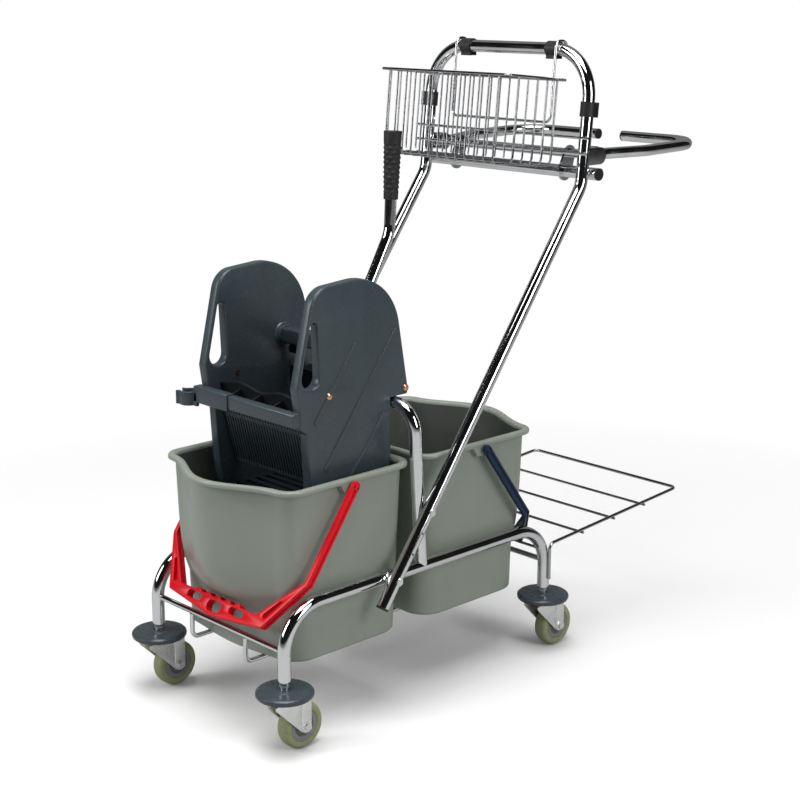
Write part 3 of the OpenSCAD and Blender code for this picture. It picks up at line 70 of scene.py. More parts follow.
CAMERA_AT = (2.0369, MIDDLE_Y - 1.8330, 1.2063)
CAMERA_AZIMUTH = 46.38
CAMERA_DOWN = 14.43
SENSOR_MM = 36
LENS_MM = 72.8

camera_data = bpy.data.cameras.new("camera")
camera_data.sensor_width = SENSOR_MM
camera_data.lens = LENS_MM
camera = new_object("camera", camera_data)
camera.location = CAMERA_AT
camera.rotation_euler = (math.radians(90 - CAMERA_DOWN), 0, math.radians(CAMERA_AZIMUTH))
bpy.context.scene.camera = camera
bpy.context.scene.view_settings.view_transform = "Standard"


# Finishes; most of a noise lies between the low and the high value

NOISE_LOW, NOISE_HIGH = 0.3, 0.7


class Finish:
    """A material whose nodes are added one by one, with surface detail in object space."""

    def __init__(self, name, color, roughness, metallic=0.0):
        self.material = bpy.data.materials.new(name)
        self.material.use_nodes = True
        self.tree = self.material.node_tree
        self.shader = self.tree.nodes["Principled BSDF"]
        self.shader.inputs["Base Color"].default_value = (*color, 1)
        self.shader.inputs["Roughness"].default_value = roughness
        self.shader.inputs["Metallic"].default_value = metallic
        self.place = self.node("ShaderNodeTexCoord").outputs["Object"]

    def node(self, kind, **values):
        """New node with values for its inputs or its own settings."""
        made = self.tree.nodes.new(kind)
        for key, value in values.items():
            if key in made.inputs:
                made.inputs[key].default_value = value
            else:
                setattr(made, key, value)
        return made

    def join(self, source, target):
        self.tree.links.new(source, target)

    def noise(self, scale, detail, stretch=(1, 1, 1)):
        """Noise with scale features per metre, stretched along an axis by a small factor there."""
        mapping = self.node("ShaderNodeMapping", Scale=stretch)
        self.join(self.place, mapping.inputs["Vector"])
        noise = self.node("ShaderNodeTexNoise", Scale=scale, Detail=detail, Roughness=0.6)
        self.join(mapping.outputs["Vector"], noise.inputs["Vector"])
        return noise.outputs["Fac"]

    def spread(self, source, low, high, start=NOISE_LOW, end=NOISE_HIGH):
        """Source between start and end turned into a value between low and high."""
        ramp = self.node("ShaderNodeMapRange")
        for key, value in (("From Min", start), ("From Max", end), ("To Min", low), ("To Max", high)):
            ramp.inputs[key].default_value = value
        self.join(source, ramp.inputs["Value"])
        return ramp.outputs["Result"]

    def tint(self, source, dark, light):
        """Base colour that goes from dark to light with the source, a noise."""
        ramp = self.node("ShaderNodeValToRGB")
        first, last = ramp.color_ramp.elements
        first.position, first.color = NOISE_LOW, (*dark, 1)
        last.position, last.color = NOISE_HIGH, (*light, 1)
        self.join(source, ramp.inputs["Fac"])
        self.join(ramp.outputs["Color"], self.shader.inputs["Base Color"])

    def rough(self, source, low, high):
        """Roughness between low and high with the source."""
        self.join(self.spread(source, low, high), self.shader.inputs["Roughness"])

    def relief(self, source, depth_mm):
        """Bump of the given depth."""
        bump = self.node("ShaderNodeBump", Strength=1.0, Distance=depth_mm / 1000)
        self.join(source, bump.inputs["Height"])
        self.join(bump.outputs["Normal"], self.shader.inputs["Normal"])


def shade(color, factor):
    """Colour made darker or lighter by a factor."""
    return tuple(channel * factor for channel in color)


def moulded(name, color, roughness, depth_mm=0.012, variation=0.06, specular=0.5):
    """Injection moulded plastic: fine spark-eroded grain, slow flow marks and a few handling smudges."""
    finish = Finish(name, color, roughness)
    flow = finish.noise(scale=14, detail=3.0, stretch=(1, 1, 0.35))
    finish.tint(flow, shade(color, 1 - variation), shade(color, 1 + variation))
    smudge = finish.noise(scale=38, detail=6.0)
    finish.rough(smudge, low=roughness * 0.86, high=roughness * 1.18)
    finish.relief(finish.noise(scale=2600, detail=2.0), depth_mm)
    finish.shader.inputs["Specular IOR Level"].default_value = specular
    return finish.material


def chrome(name, level):
    """Polished chrome with faint smears and a very slight waviness of the tube underneath."""
    color = (level, level + 0.01, level + 0.02)
    finish = Finish(name, color, roughness=0.05, metallic=1.0)
    smear = finish.noise(scale=26, detail=6.0, stretch=(1, 1, 0.4))
    finish.tint(smear, shade(color, 0.93), shade(color, 1.04))
    finish.rough(smear, low=0.025, high=0.10)
    finish.relief(finish.noise(scale=40, detail=1.0), depth_mm=0.004)
    return finish.material


def zinc():
    """Zinc plated sheet: a soft cloudy sheen and fine rolling lines."""
    color = (0.82, 0.84, 0.82)
    finish = Finish("zinc_plated_steel", color, roughness=0.3, metallic=1.0)
    finish.tint(finish.noise(scale=60, detail=4.0), shade(color, 0.92), shade(color, 1.05))
    finish.rough(finish.noise(scale=90, detail=5.0), low=0.24, high=0.36)
    finish.relief(finish.noise(scale=500, detail=2.0, stretch=(1, 1, 0.08)), depth_mm=0.002)
    return finish.material


def tyre_rubber():
    """Non-marking tyre rubber with a dusty, slightly speckled surface."""
    color = (0.26, 0.285, 0.150)
    finish = Finish("olive_tyre_rubber", color, roughness=0.72)
    dust = finish.noise(scale=120, detail=6.0)
    finish.tint(dust, shade(color, 0.82), shade(color, 1.12))
    finish.rough(dust, low=0.62, high=0.85)
    finish.relief(finish.noise(scale=1500, detail=3.0), depth_mm=0.03)
    return finish.material


def grip_rubber():
    """Soft black grip with a dry grain."""
    color = (0.009, 0.009, 0.009)
    finish = Finish("black_grip", color, roughness=0.6)
    finish.tint(finish.noise(scale=60, detail=4.0), shade(color, 0.7), shade(color, 1.4))
    finish.rough(finish.noise(scale=240, detail=5.0), low=0.5, high=0.75)
    finish.relief(finish.noise(scale=2200, detail=3.0), depth_mm=0.05)
    return finish.material


def copper():
    """Bare copper coloured rivets with a turned face."""
    color = (0.86, 0.47, 0.28)
    finish = Finish("copper_rivet", color, roughness=0.25, metallic=1.0)
    finish.tint(finish.noise(scale=400, detail=4.0), shade(color, 0.8), shade(color, 1.1))
    finish.rough(finish.noise(scale=900, detail=4.0), low=0.16, high=0.36)
    return finish.material


GREY = (0.240, 0.268, 0.230)
SLATE = (0.041, 0.056, 0.065)
BLACK = (0.012, 0.012, 0.012)
RED = (0.64, 0.002, 0.010)
NAVY = (0.004, 0.017, 0.050)
HUB_GREY = (0.20, 0.195, 0.195)

CHROME = chrome("chrome", level=0.76)
# Darker copy of the chrome for the basket and tray wires: painted shade that dims their reflections
WIRE_CHROME_PAINTED_SHADE = chrome("wire_chrome_painted_shade", level=0.44)
ZINC = zinc()
BUCKET_GREY = moulded("grey_bucket_plastic", GREY, 0.34, depth_mm=0.006, variation=0.04)
# Darker copy of the bucket grey for the inside of the shell: painted shade
BUCKET_INSIDE_PAINTED_SHADE = moulded("grey_bucket_inside_painted_shade", shade(GREY, 0.3), 0.5, variation=0.1)
SLATE_PLASTIC = moulded("slate_plastic", SLATE, 0.28, depth_mm=0.004, variation=0.08)
# Near-black copy of the slate for the parts deep inside the wringer: painted shade
INNER_PLASTIC_PAINTED_SHADE = moulded("inner_plastic_painted_shade", shade(SLATE, 0.18), 0.55, variation=0.12, specular=0.15)
GRILLE_PLASTIC = moulded("grille_plastic", shade(SLATE, 0.78), 0.36, variation=0.1)
BLACK_PLASTIC = moulded("black_plastic", BLACK, 0.45, variation=0.2)
RED_PLASTIC = moulded("red_plastic", RED, 0.30, depth_mm=0.006, variation=0.07, specular=0.3)
NAVY_PLASTIC = moulded("navy_plastic", NAVY, 0.32, depth_mm=0.006, variation=0.1, specular=0.3)
HUB_PLASTIC = moulded("grey_hub_plastic", HUB_GREY, 0.5)
TYRE = tyre_rubber()
GRIP = grip_rubber()
COPPER = copper()

SLOT_FINISH = {
    "chrome_tube": CHROME, "zinc_steel": ZINC, "grey_plastic": BUCKET_GREY, "slate_plastic": SLATE_PLASTIC,
    "black_plastic": BLACK_PLASTIC, "grip_rubber": GRIP, "red_plastic": RED_PLASTIC,
    "navy_plastic": NAVY_PLASTIC, "copper_rivet": COPPER, "hub_plastic": HUB_PLASTIC, "tyre_rubber": TYRE,
}
# Parts inside the wringer and the basket and tray wires get darker copies of their finishes: painted shade
NODE_FINISH = {
    "press_jaw": INNER_PLASTIC_PAINTED_SHADE, "crank_rollers": INNER_PLASTIC_PAINTED_SHADE, "wringer_floor": INNER_PLASTIC_PAINTED_SHADE,
    "lever_cranks": INNER_PLASTIC_PAINTED_SHADE, "handle_bolts": CHROME, "wire_basket": WIRE_CHROME_PAINTED_SHADE,
    "tray_cross_wires": WIRE_CHROME_PAINTED_SHADE, "tray_frame": WIRE_CHROME_PAINTED_SHADE,
}

for subpart in frame["record"]["subparts"]:
    node_name = subpart["node"]
    materials = nodes[node_name].data.materials
    materials.clear()
    materials.append(NODE_FINISH.get(node_name, SLOT_FINISH[subpart["material_slot"]]))


# Shapes

class Shape:
    """Points and faces in millimetres, gathered from several parts into one piece."""

    def __init__(self):
        self.points = []
        self.faces = []

    def add(self, part, place=Matrix()):
        points, faces = part
        first = len(self.points)
        self.points += [place @ Vector(p) for p in points]
        self.faces += [[first + i for i in face] for face in faces]
        return self

    def piece(self, name, body, finish, slot, *stands_for, sharp=32):
        """Object that rides on a body, with edges sharper than an angle in degrees left crisp."""
        mesh = bpy.data.meshes.new(name)
        mesh.from_pydata([TO_FRAME @ p for p in self.points], [], self.faces)
        mesh.validate()
        work = bmesh.new()
        work.from_mesh(mesh)
        bmesh.ops.recalc_face_normals(work, faces=work.faces)
        work.to_mesh(mesh)
        work.free()
        mesh.shade_smooth()
        mesh.set_sharp_from_angle(angle=math.radians(sharp))
        mesh.materials.append(finish)
        made = new_object(name, mesh)
        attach(made, body)
        if stands_for:
            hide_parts(*stands_for)
        return made


def at(x, y, z):
    return Matrix.Translation((x, y, z))


def upright(x):
    """Place for an outline drawn along y and z, with its thickness across the trolley."""
    return at(x, 0, 0) @ Matrix(((0, 0, 1, 0), (1, 0, 0, 0), (0, 1, 0, 0), (0, 0, 0, 1)))


def across(side=1):
    """Turn that lays the axis of a revolved part across the trolley, towards one side."""
    return Matrix.Rotation(side * math.pi / 2, 4, "Y")


def mirror(side):
    """Nothing for the right side, and a mirror image for the left, which is minus one."""
    return Matrix.Scale(side, 4, (1, 0, 0))


def polar(centre, radius, angle):
    a = math.radians(angle)
    return centre[0] + radius * math.cos(a), centre[1] + radius * math.sin(a)


def arc(centre, radius, start, end, steps):
    """Points on an arc from one angle to the other, in degrees."""
    return [polar(centre, radius, start + (end - start) * i / steps) for i in range(steps + 1)]


def capsule(a, b, radius_a, radius_b, steps=14):
    """Outline round two circles, like a belt, counter-clockwise."""
    along = Vector(b) - Vector(a)
    heading = math.degrees(math.atan2(along.y, along.x))
    spread = math.degrees(math.acos((radius_a - radius_b) / along.length))
    far = arc(b, radius_b, heading - spread, heading + spread, steps)
    near = arc(a, radius_a, heading + spread, heading + 360 - spread, steps)
    return far + near


def rounded(corners, radii, steps=5):
    """Closed outline with each corner rounded by its own radius, or all by one."""
    outline = []
    for i, corner in enumerate(corners):
        here = Vector(corner)
        back = (Vector(corners[i - 1]) - here).normalized()
        ahead = (Vector(corners[(i + 1) % len(corners)]) - here).normalized()
        radius = radii[i] if isinstance(radii, (list, tuple)) else radii
        reach = radius / math.tan(back.angle(ahead) / 2)
        for k in range(steps + 1):
            t = k / steps
            outline.append(tuple(here + back * reach * (1 - t) ** 2 + ahead * reach * t ** 2))
    return outline


def ribbon(line, half):
    """Closed outline at half thickness on both sides of a line, pointed at its ends."""
    sides = ([], [])
    for i, point in enumerate(line):
        before = Vector(line[max(i - 1, 0)])
        after = Vector(line[min(i + 1, len(line) - 1)])
        d = (after - before).normalized()
        for side, sign in zip(sides, (1, -1)):
            side.append((point[0] - sign * d.y * half, point[1] + sign * d.x * half))
    start = Vector(line[0]) + (Vector(line[0]) - Vector(line[1])).normalized() * half
    end = Vector(line[-1]) + (Vector(line[-1]) - Vector(line[-2])).normalized() * half
    return [tuple(start)] + sides[1] + [tuple(end)] + sides[0][::-1]


def inset(loop, distance):
    """Outline moved inwards; a hole, drawn the other way round, moves outwards."""
    sharpest = 0.35
    moved = []
    for i, (x, y) in enumerate(loop):
        before = Vector(loop[i - 1])
        after = Vector(loop[(i + 1) % len(loop)])
        d1 = (Vector((x, y)) - before).normalized()
        d2 = (after - Vector((x, y))).normalized()
        normal = Vector((-d1.y - d2.y, d1.x + d2.x))
        step = distance / max(sharpest, normal.length_squared / 2)
        moved.append((x + normal.x * step, y + normal.y * step))
    return moved


def slab(loops, profile, hole_pulls=None):
    """Flat part between outlines: the first is outside, the others are holes drawn clockwise.
    The profile lists how far the edge is pulled in at each height; holes may have their own pulls."""
    points = []
    faces = []
    rings = []
    for level, (pull, height) in enumerate(profile):
        ring_starts = []
        for loop in loops:
            ring_starts.append(len(points))
            hole = hole_pulls and loop is not loops[0]
            points += [(x, y, height) for x, y in inset(loop, hole_pulls[level] if hole else pull)]
        rings.append(ring_starts)
    for low, high in zip(rings, rings[1:]):
        for loop, a, b in zip(loops, low, high):
            count = len(loop)
            faces += [[a + i, a + (i + 1) % count, b + (i + 1) % count, b + i] for i in range(count)]
    for starts in (rings[0], rings[-1]):
        spans = [range(start, start + len(loop)) for loop, start in zip(loops, starts)]
        flat = [[Vector((*points[i][:2], 0)) for i in span] for span in spans]
        index = [i for span in spans for i in span]
        faces += [[index[i] for i in triangle] for triangle in tessellate_polygon(flat)]
    return points, faces


def rounded_edge(thickness, radius, steps=4):
    """Slab profile with both edges rounded, centred on height zero."""
    half = thickness / 2
    turn = [math.pi / 2 * k / steps for k in range(steps + 1)]
    low = [(radius * (1 - math.sin(a)), -half + radius * (1 - math.cos(a))) for a in turn]
    return low + [(pull, -height) for pull, height in reversed(low)]


def along_x(outline, x0, x1, radius):
    """Outline of y and z pairs drawn out between two x places, with the place that it needs."""
    return slab([outline], rounded_edge(x1 - x0, radius, 3)), upright((x0 + x1) / 2)


def block(low, high, radius=0.8):
    """Box between two corners with rounded edges."""
    middle = [(a + b) / 2 for a, b in zip(low, high)]
    x, y, z = [(b - a) / 2 for a, b in zip(low, high)]
    outline = rounded([(-x, -y), (x, -y), (x, y), (-x, y)], radius, 3)
    points, faces = slab([outline], rounded_edge(2 * z, radius, 3))
    return [(px + middle[0], py + middle[1], pz + middle[2]) for px, py, pz in points], faces


def revolve(profile, steps):
    """Profile of (radius, height) pairs turned round the z axis; a radius of zero closes an end."""
    points = []
    faces = []
    starts = []
    for radius, height in profile:
        starts.append(len(points))
        turn = [2 * math.pi * i / steps for i in range(steps if radius > 0 else 1)]
        points += [(radius * math.cos(a), radius * math.sin(a), height) for a in turn]
    rings = [(start, end - start) for start, end in zip(starts, starts[1:] + [len(points)])]
    for (a, m), (b, n) in zip(rings, rings[1:]):
        for i in range(steps):
            j = (i + 1) % steps
            face = [a + i % m, a + j % m, b + j % n, b + i % n]
            faces.append(list(dict.fromkeys(face)))
    return points, [f for f in faces if len(f) > 2]


def hoop(profile, steps):
    """Closed profile turned round the z axis, with a hole in the middle."""
    return revolve(profile + profile[:1], steps)


def loft(rings):
    """Skin over rings of equally many points, with the first and last closed."""
    count = len(rings[0])
    points = [p for ring in rings for p in ring]
    faces = []
    for low in range(0, len(points) - count, count):
        high = low + count
        for i in range(count):
            j = (i + 1) % count
            faces.append([low + i, low + j, high + j, high + i])
    faces.append(list(range(count)))
    faces.append(list(range(len(points) - count, len(points))))
    return points, faces


# Buckets, each drawn with its inner end at y zero and its bowed end towards minus y

RIM_W, RIM_LEN, BUCKET_H = 340, 271, 302
BASE_W, BASE_LEN, BASE_R = 304, 245, 7
LIP, WALL, NECK = 6, 3, 6
RIM_CORNER, BASE_CORNER, LEAST_CORNER = 36, 45, 4
BOW_DEPTH, BOW_EDGE, BOW_HALF, BOW_DROP = 60, 10, 148, 235
CREASE_ARCH, CREASE_POWER, CREASE_SOFT = 0.3, 5.5, 0.02
FOOT_BOW, FOOT_BOW_H = 15, 75
CORNER_STEPS, BOW_STEPS, FOOT_STEPS = 9, 60, 6
OUTSIDE_LEVELS, OUTSIDE_TOP = 100, BUCKET_H - 12
INSIDE_LEVELS, INSIDE_TOP = 40, BUCKET_H - 14
# Rolled rim, from under its outer edge over to its inner edge: pull inwards and drop below the top
RIM_ROLL = [(4.5, 10.2), (0.5, 9.4), (-4.0, 8.6), (-5.5, 7.8), (-6.0, 6.4), (-6.0, 3.6), (-5.4, 1.7),
            (-4.2, 0.5), (-2.4, 0), (2.0, 0), (5.4, 0.5), (7.6, 2.0), (8.7, 4.2), (9.0, 7)]
BUCKET_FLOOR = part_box("front_bucket")[0].z * 1000
FRONT_INNER, REAR_INNER = -16, 7
PIVOT_BACK, PIVOT_DROP = 143, 12
PIVOT_Z = BUCKET_FLOOR + BUCKET_H - PIVOT_DROP
LUG_SINK = 2.4
LUG_X = RIM_W / 2 - LIP - NECK - LUG_SINK
LUG_OUTLINE = [(-15, -13), (12, -13), (22, 5), (-26, 5)]
LUG_CORNERS = [5, 5, 2, 2]
LUG_EDGE = [(0, 0), (0, 11.5), (0.5, 12.6), (1.6, 13.0)]
PIN = [(0, -1), (5, -1), (5, 21), (4.4, 21.8), (0, 21.8)]


def bow(x, z):
    """How far the outer end wall swells out: full down to a crease that arches lower in the middle,
    and a little once more at the foot."""
    swell = (1 + math.cos(math.pi * min(1, abs(x) / BOW_HALF))) / 2
    fall = (BUCKET_H - z) / (BOW_DROP * (1 - CREASE_ARCH * (x / BOW_HALF) ** 4))
    left = 1 - fall ** CREASE_POWER
    share = (left + math.hypot(left, CREASE_SOFT)) / (1 + math.hypot(1, CREASE_SOFT))
    foot = FOOT_BOW * swell * max(0, 1 - z / FOOT_BOW_H)
    return (BOW_EDGE + (BOW_DEPTH - BOW_EDGE) * swell) * share + foot


def bucket_ring(z, pull, height=None):
    """Wall outline of the bucket at z, pulled in, and put at another height if one is given."""
    t = z / BUCKET_H
    half = BASE_W / 2 * (1 - t) + (RIM_W / 2 - LIP) * t - pull
    length = BASE_LEN * (1 - t) + (RIM_LEN - 2 * LIP) * t
    y_in = -RIM_LEN / 2 + length / 2 - pull
    y_out = -RIM_LEN / 2 - length / 2 + pull
    r = max(BASE_CORNER * (1 - t) + (RIM_CORNER - LIP) * t - pull, LEAST_CORNER)
    flat = half - r
    y_edge = y_out - bow(flat, z)
    ring = arc((flat, y_in - r), r, 0, 90, CORNER_STEPS)
    ring += arc((-flat, y_in - r), r, 90, 180, CORNER_STEPS)
    ring += arc((-flat, y_edge + r), r, 180, 270, CORNER_STEPS)
    for i in range(1, BOW_STEPS):
        x = -flat + 2 * flat * i / BOW_STEPS
        ring.append((x, y_out - bow(x, z)))
    ring += arc((flat, y_edge + r), r, 270, 360, CORNER_STEPS)
    return [(x, y, z if height is None else height) for x, y in ring]


def foot_rings(wall):
    """Rings from the flat bottom up its rounded edge, at a distance inside the outer skin."""
    r = BASE_R - wall
    turn = [math.pi / 2 * k / FOOT_STEPS for k in range(FOOT_STEPS)]
    return [bucket_ring(BASE_R, wall + r * (1 - math.sin(a)), wall + r * (1 - math.cos(a))) for a in turn]


def wall_rings(wall, top, steps):
    """Rings up the wall, drawn in towards the rim, at a distance inside the outer skin."""
    levels = [BASE_R + (top - BASE_R) * k / steps for k in range(steps + 1)]
    return [bucket_ring(z, NECK * z / BUCKET_H + wall) for z in levels]


def bucket(name, body, place):
    """Shell with the thickened lugs under the rim and the pins that carry the bail."""
    outside = foot_rings(0) + wall_rings(0, OUTSIDE_TOP, OUTSIDE_LEVELS)
    outside += [bucket_ring(BUCKET_H, pull, BUCKET_H - drop) for pull, drop in RIM_ROLL]
    inside = foot_rings(WALL) + wall_rings(WALL, INSIDE_TOP, INSIDE_LEVELS)
    shape = Shape().add(loft(outside + inside[::-1]), place)
    for side in (1, -1):
        turn = Matrix.Rotation(0 if side > 0 else math.pi, 4, "Z")
        face_out = place @ at(side * LUG_X, -PIVOT_BACK, BUCKET_H - PIVOT_DROP) @ turn @ upright(0)
        shape.add(slab([rounded(LUG_OUTLINE, LUG_CORNERS)], LUG_EDGE), face_out)
        shape.add(revolve(PIN, 32), face_out)
    made = shape.piece(name + "_moulding", body, BUCKET_GREY, "grey_plastic", name)
    # The inner wall, inner floor and inner side of the rim get the darker copy of the grey: painted shade
    made.data.materials.append(BUCKET_INSIDE_PAINTED_SHADE)
    count = len(outside[0])
    rim_edge = (len(outside) - 1) * count
    bottom = (len(outside) + len(inside) - 1) * count
    inner_floor = bottom + 1
    for face in [*made.data.polygons[rim_edge:bottom], made.data.polygons[inner_floor]]:
        face.material_index = 1


bucket("front_bucket", "frame", at(0, FRONT_INNER, BUCKET_FLOOR))
bucket("rear_bucket", "rear_bucket", at(0, REAR_INNER, BUCKET_FLOOR) @ Matrix.Rotation(math.pi, 4, "Z"))


# Bails, drawn flat with the pivot on the origin and the grip towards minus y

BAIL_IN, BAIL_OUT, BAIL_T = 172, 180, 15
ARM_LEN, GRIP_LEN, GRIP_X, BELLY = 178, 270, 124, 15
GRIP_TOP, GRIP_INNER_X = 253, 101
BUMP_R, BUMP_RISE, BUMP_PITCH = 9, 5, 26
MIDDLE_HOLE_Y, MIDDLE_HOLE_HALF, MIDDLE_HOLE_RADII = -268, 9, (9, 8.99)
SIDE_HOLE_X, SIDE_HOLE_Y, SIDE_HOLE_HALF, SIDE_HOLE_RADII = 56, -263.2, 13, (6, 5.99)
SLOT_NARROW, SLOT_NARROW_R = (142, -220), 2.5
SLOT_WIDE, SLOT_WIDE_R = (121, -250), 4.5
FLANGE_EDGE, FLANGE_BEVEL, GROOVE_PULL = 1.2, 0.35, 2.2
EYE = [(0, 4), (6.7, 4), (7.5, 3.2), (7.5, -3.2), (6.7, -4), (5.1, -4), (5.1, 2), (0, 2)]
FRONT_HANG, REAR_HANG = -35.34, 36.46


def finger_hole(x, y, half, radii):
    """Outline of a long hole with a radius for its left end and one for its right."""
    return capsule((x - half, y), (x + half, y), *radii)


def bail_outlines():
    """Outer outline with finger bumps, then the finger holes and side slots."""
    outer = [((BAIL_OUT, 0), 0.5), ((BAIL_OUT, -ARM_LEN), 12), ((GRIP_X, -GRIP_LEN), 7)]
    inner = [((BAIL_IN, 0), 0.5), ((BAIL_IN, -ARM_LEN + 2), 9), ((GRIP_INNER_X, -GRIP_TOP), 7)]
    flip = [((-x, y), r) for (x, y), r in outer[::-1] + inner]
    path = inner[::-1] + outer + [((0, -GRIP_LEN - BELLY), 60)] + flip
    outline = rounded([corner for corner, r in path], [r for corner, r in path], 6)
    lean = math.degrees(math.asin((BUMP_R - BUMP_RISE) / BUMP_R))
    for i in range(-2, 3):
        outline += arc((i * BUMP_PITCH, -GRIP_TOP - BUMP_R + BUMP_RISE), BUMP_R, 180 - lean, lean, 8)
    holes = [finger_hole(0, MIDDLE_HOLE_Y, MIDDLE_HOLE_HALF, MIDDLE_HOLE_RADII)]
    for side in (-1, 1):
        narrow = (side * SLOT_NARROW[0], SLOT_NARROW[1])
        wide = (side * SLOT_WIDE[0], SLOT_WIDE[1])
        holes.append(finger_hole(side * SIDE_HOLE_X, SIDE_HOLE_Y, SIDE_HOLE_HALF, SIDE_HOLE_RADII))
        holes.append(capsule(narrow, wide, SLOT_NARROW_R, SLOT_WIDE_R, 8))
    return [outline[::-1]] + [hole[::-1] for hole in holes]


def bail(name, finish, slot, pivot_y, hang):
    """Bail with two flanges along its edges, a groove between them, and eyes on the bucket's pins."""
    face = -BAIL_T / 2
    low = [(FLANGE_EDGE, face), (FLANGE_BEVEL, face + FLANGE_BEVEL), (0, face + FLANGE_EDGE),
           (0, -3.3), (0.4, -2.9), (GROOVE_PULL, -2.6)]
    edge = low + [(pull, -height) for pull, height in low[::-1]]
    hole_low = [FLANGE_EDGE, FLANGE_BEVEL, 0, 0, 0, 0]
    lie = at(0, pivot_y, PIVOT_Z) @ Matrix.Rotation(math.radians(hang), 4, "X")
    stand = lie @ Matrix.Rotation(math.pi / 2, 4, "X")
    shape = Shape().add(slab(bail_outlines(), edge, hole_low + hole_low[::-1]), stand)
    for side in (-1, 1):
        shape.add(revolve(EYE, 40), lie @ at(side * (BAIL_IN + BAIL_OUT) / 2, 0, 0) @ across(side))
    shape.piece(name + "_moulding", name, finish, slot, name)


bail("front_bail", RED_PLASTIC, "red_plastic", FRONT_INNER - PIVOT_BACK, FRONT_HANG)
bail("rear_bail", NAVY_PLASTIC, "navy_plastic", REAR_INNER + PIVOT_BACK, REAR_HANG)


# Wringer side plates, with places as y and z pairs

PLATE_IN, PLATE_OUT, PLATE_EDGE_R = 110, 130, 3.6
PLATE_FRONT = -235
HOOK_BACK, HOOK_Z, PLATE_FOOT = -36.5, 536.4, 362
KNEE, KNEE_R = (-227, 582), 13
FRONT_TOP, FRONT_TOP_R = (-171, 702), 40
DOME, DOME_R = (-115, 646), 100
DROP_LOW, DROP_LOW_R = (-211, 597), 18
DROP_HIGH, DROP_HIGH_R = (-203, 679), 7
SHAFT = (-68, 614)
BOSS = [(8.1, 10), (8.1, -8.2), (9, -9), (15, -9), (16, -8.2), (16, -3), (19, -2.4), (21, 0), (21, 1)]
PLATE_RIBS = [((-115, 640), (-203, 523)), ((-25, 652), (-183, 442)), ((-52, 511), (-126, 421))]
PLATE_RIB_R = 3.6
PLATE_RIB_EDGE = [(0, -1), (0, 1.1), (0.3, 1.6), (0.9, 1.8)]


def plate_outline():
    """Front edge up to the knee, rounded top, back edge and the hook over the hoop."""
    front = [(-208, PLATE_FOOT), (-216, 420), (-221, 506), (PLATE_FRONT, 516), (PLATE_FRONT, 547),
             (PLATE_FRONT - 4, 574)] + arc(KNEE, KNEE_R, 185, 167, 3)
    top = arc(FRONT_TOP, FRONT_TOP_R, 167, 96, 14) + arc(DOME, DOME_R, 92, 9, 28)
    back = [(3, 552), (3, HOOK_Z + 2), (0, HOOK_Z), (HOOK_BACK, HOOK_Z)]
    outline = [(HOOK_BACK, PLATE_FOOT)] + front + top + back
    return outline[::-1]


def wringer_plate(name, side):
    """Thick side plate with rounded edges, teardrop hole, embossed ribs and the bearing boss."""
    teardrop = capsule(DROP_LOW, DROP_HIGH, DROP_LOW_R, DROP_HIGH_R)[::-1]
    body = slab([plate_outline(), teardrop], rounded_edge(PLATE_OUT - PLATE_IN, PLATE_EDGE_R))
    shape = Shape().add(body, upright(side * (PLATE_IN + PLATE_OUT) / 2))
    for a, b in PLATE_RIBS:
        rib = slab([capsule(a, b, PLATE_RIB_R, PLATE_RIB_R, 8)], PLATE_RIB_EDGE)
        shape.add(rib, mirror(side) @ upright(PLATE_OUT))
    shape.add(revolve(BOSS, 48), mirror(side) @ upright(PLATE_IN) @ at(*SHAFT, 0))
    shape.piece(name + "_moulding", "wringer", SLATE_PLASTIC, "slate_plastic", name)


wringer_plate("wringer_plate_right", 1)
wringer_plate("wringer_plate_left", -1)


# Wringer front: bar, mop clip, grille, press plate and rivets

BAR_FACE, BAR_BACK, BAR_LOW, BAR_HIGH = -250.1, -235.1, 521, 545
INSIDE_X, SEAT_GAP = 109.9, 0.1
LEAN, LEAN_Y, LEAN_Z = math.radians(13), BAR_FACE + 39, BAR_LOW - 3.2
LEANING = at(0, LEAN_Y, LEAN_Z) @ Matrix.Rotation(LEAN, 4, "X")
SLAT_COUNT, SLAT_W, SLAT_MARGIN = 30, 4, 8
SLAT_LEN, SLAT_T, SLAT_CORNERS = 113, 5, [1.7, 1.7, 0.4, 0.4]
RAIL_H, RAIL_FRONT, RAIL_BACK, UPPER_RAIL_Z = 7, 1, 8, -26
PANEL_T, PANEL_LOW, PANEL_TOP, WAVE, WAVES, WAVE_STEPS = 5, 6 - SLAT_LEN, 36, 4.5, 2, 64
PANEL_RIB_T, PANEL_RIB_RISE, PANEL_RIB_FALL = 3, 4, 9
CLIP_LEFT, CLIP_RIGHT, CLIP_WALL = -PLATE_OUT + 1, -38, 2.5
CLIP_RADII = [2.5, 0.4, 0.4, 0.3, 0.3, 0.4, 0.4, 2.5]
RING_AT, RING_R, RING_HALF_T, RING_DROP = (-147.5, -248.1), 14.6, 1.9, 9
RING_OPENING, RING_OPENING_HALF = 200, 46
RING_LIP_R, RING_LIP_TURN, RING_NECK_X = 7, 75, -134
RIVETS = [(-173, 562), (-3, 548)]
RIVET_DOME = [(6.3, -0.4), (6.3, 0.6), (5.8, 1.7), (4.6, 2.7), (2.6, 3.3), (0, 3.5)]


def front_bar():
    """Bar across the fronts of both side plates."""
    corners = [(BAR_FACE, BAR_LOW), (BAR_BACK, BAR_LOW), (BAR_BACK, BAR_HIGH), (BAR_FACE, BAR_HIGH)]
    shape = Shape().add(*along_x(rounded(corners, [3, 1.5, 1.5, 4]), -PLATE_OUT, PLATE_OUT, 1.6))
    shape.piece("front_bar_moulding", "wringer", SLATE_PLASTIC, "slate_plastic", "wringer_front_bar")


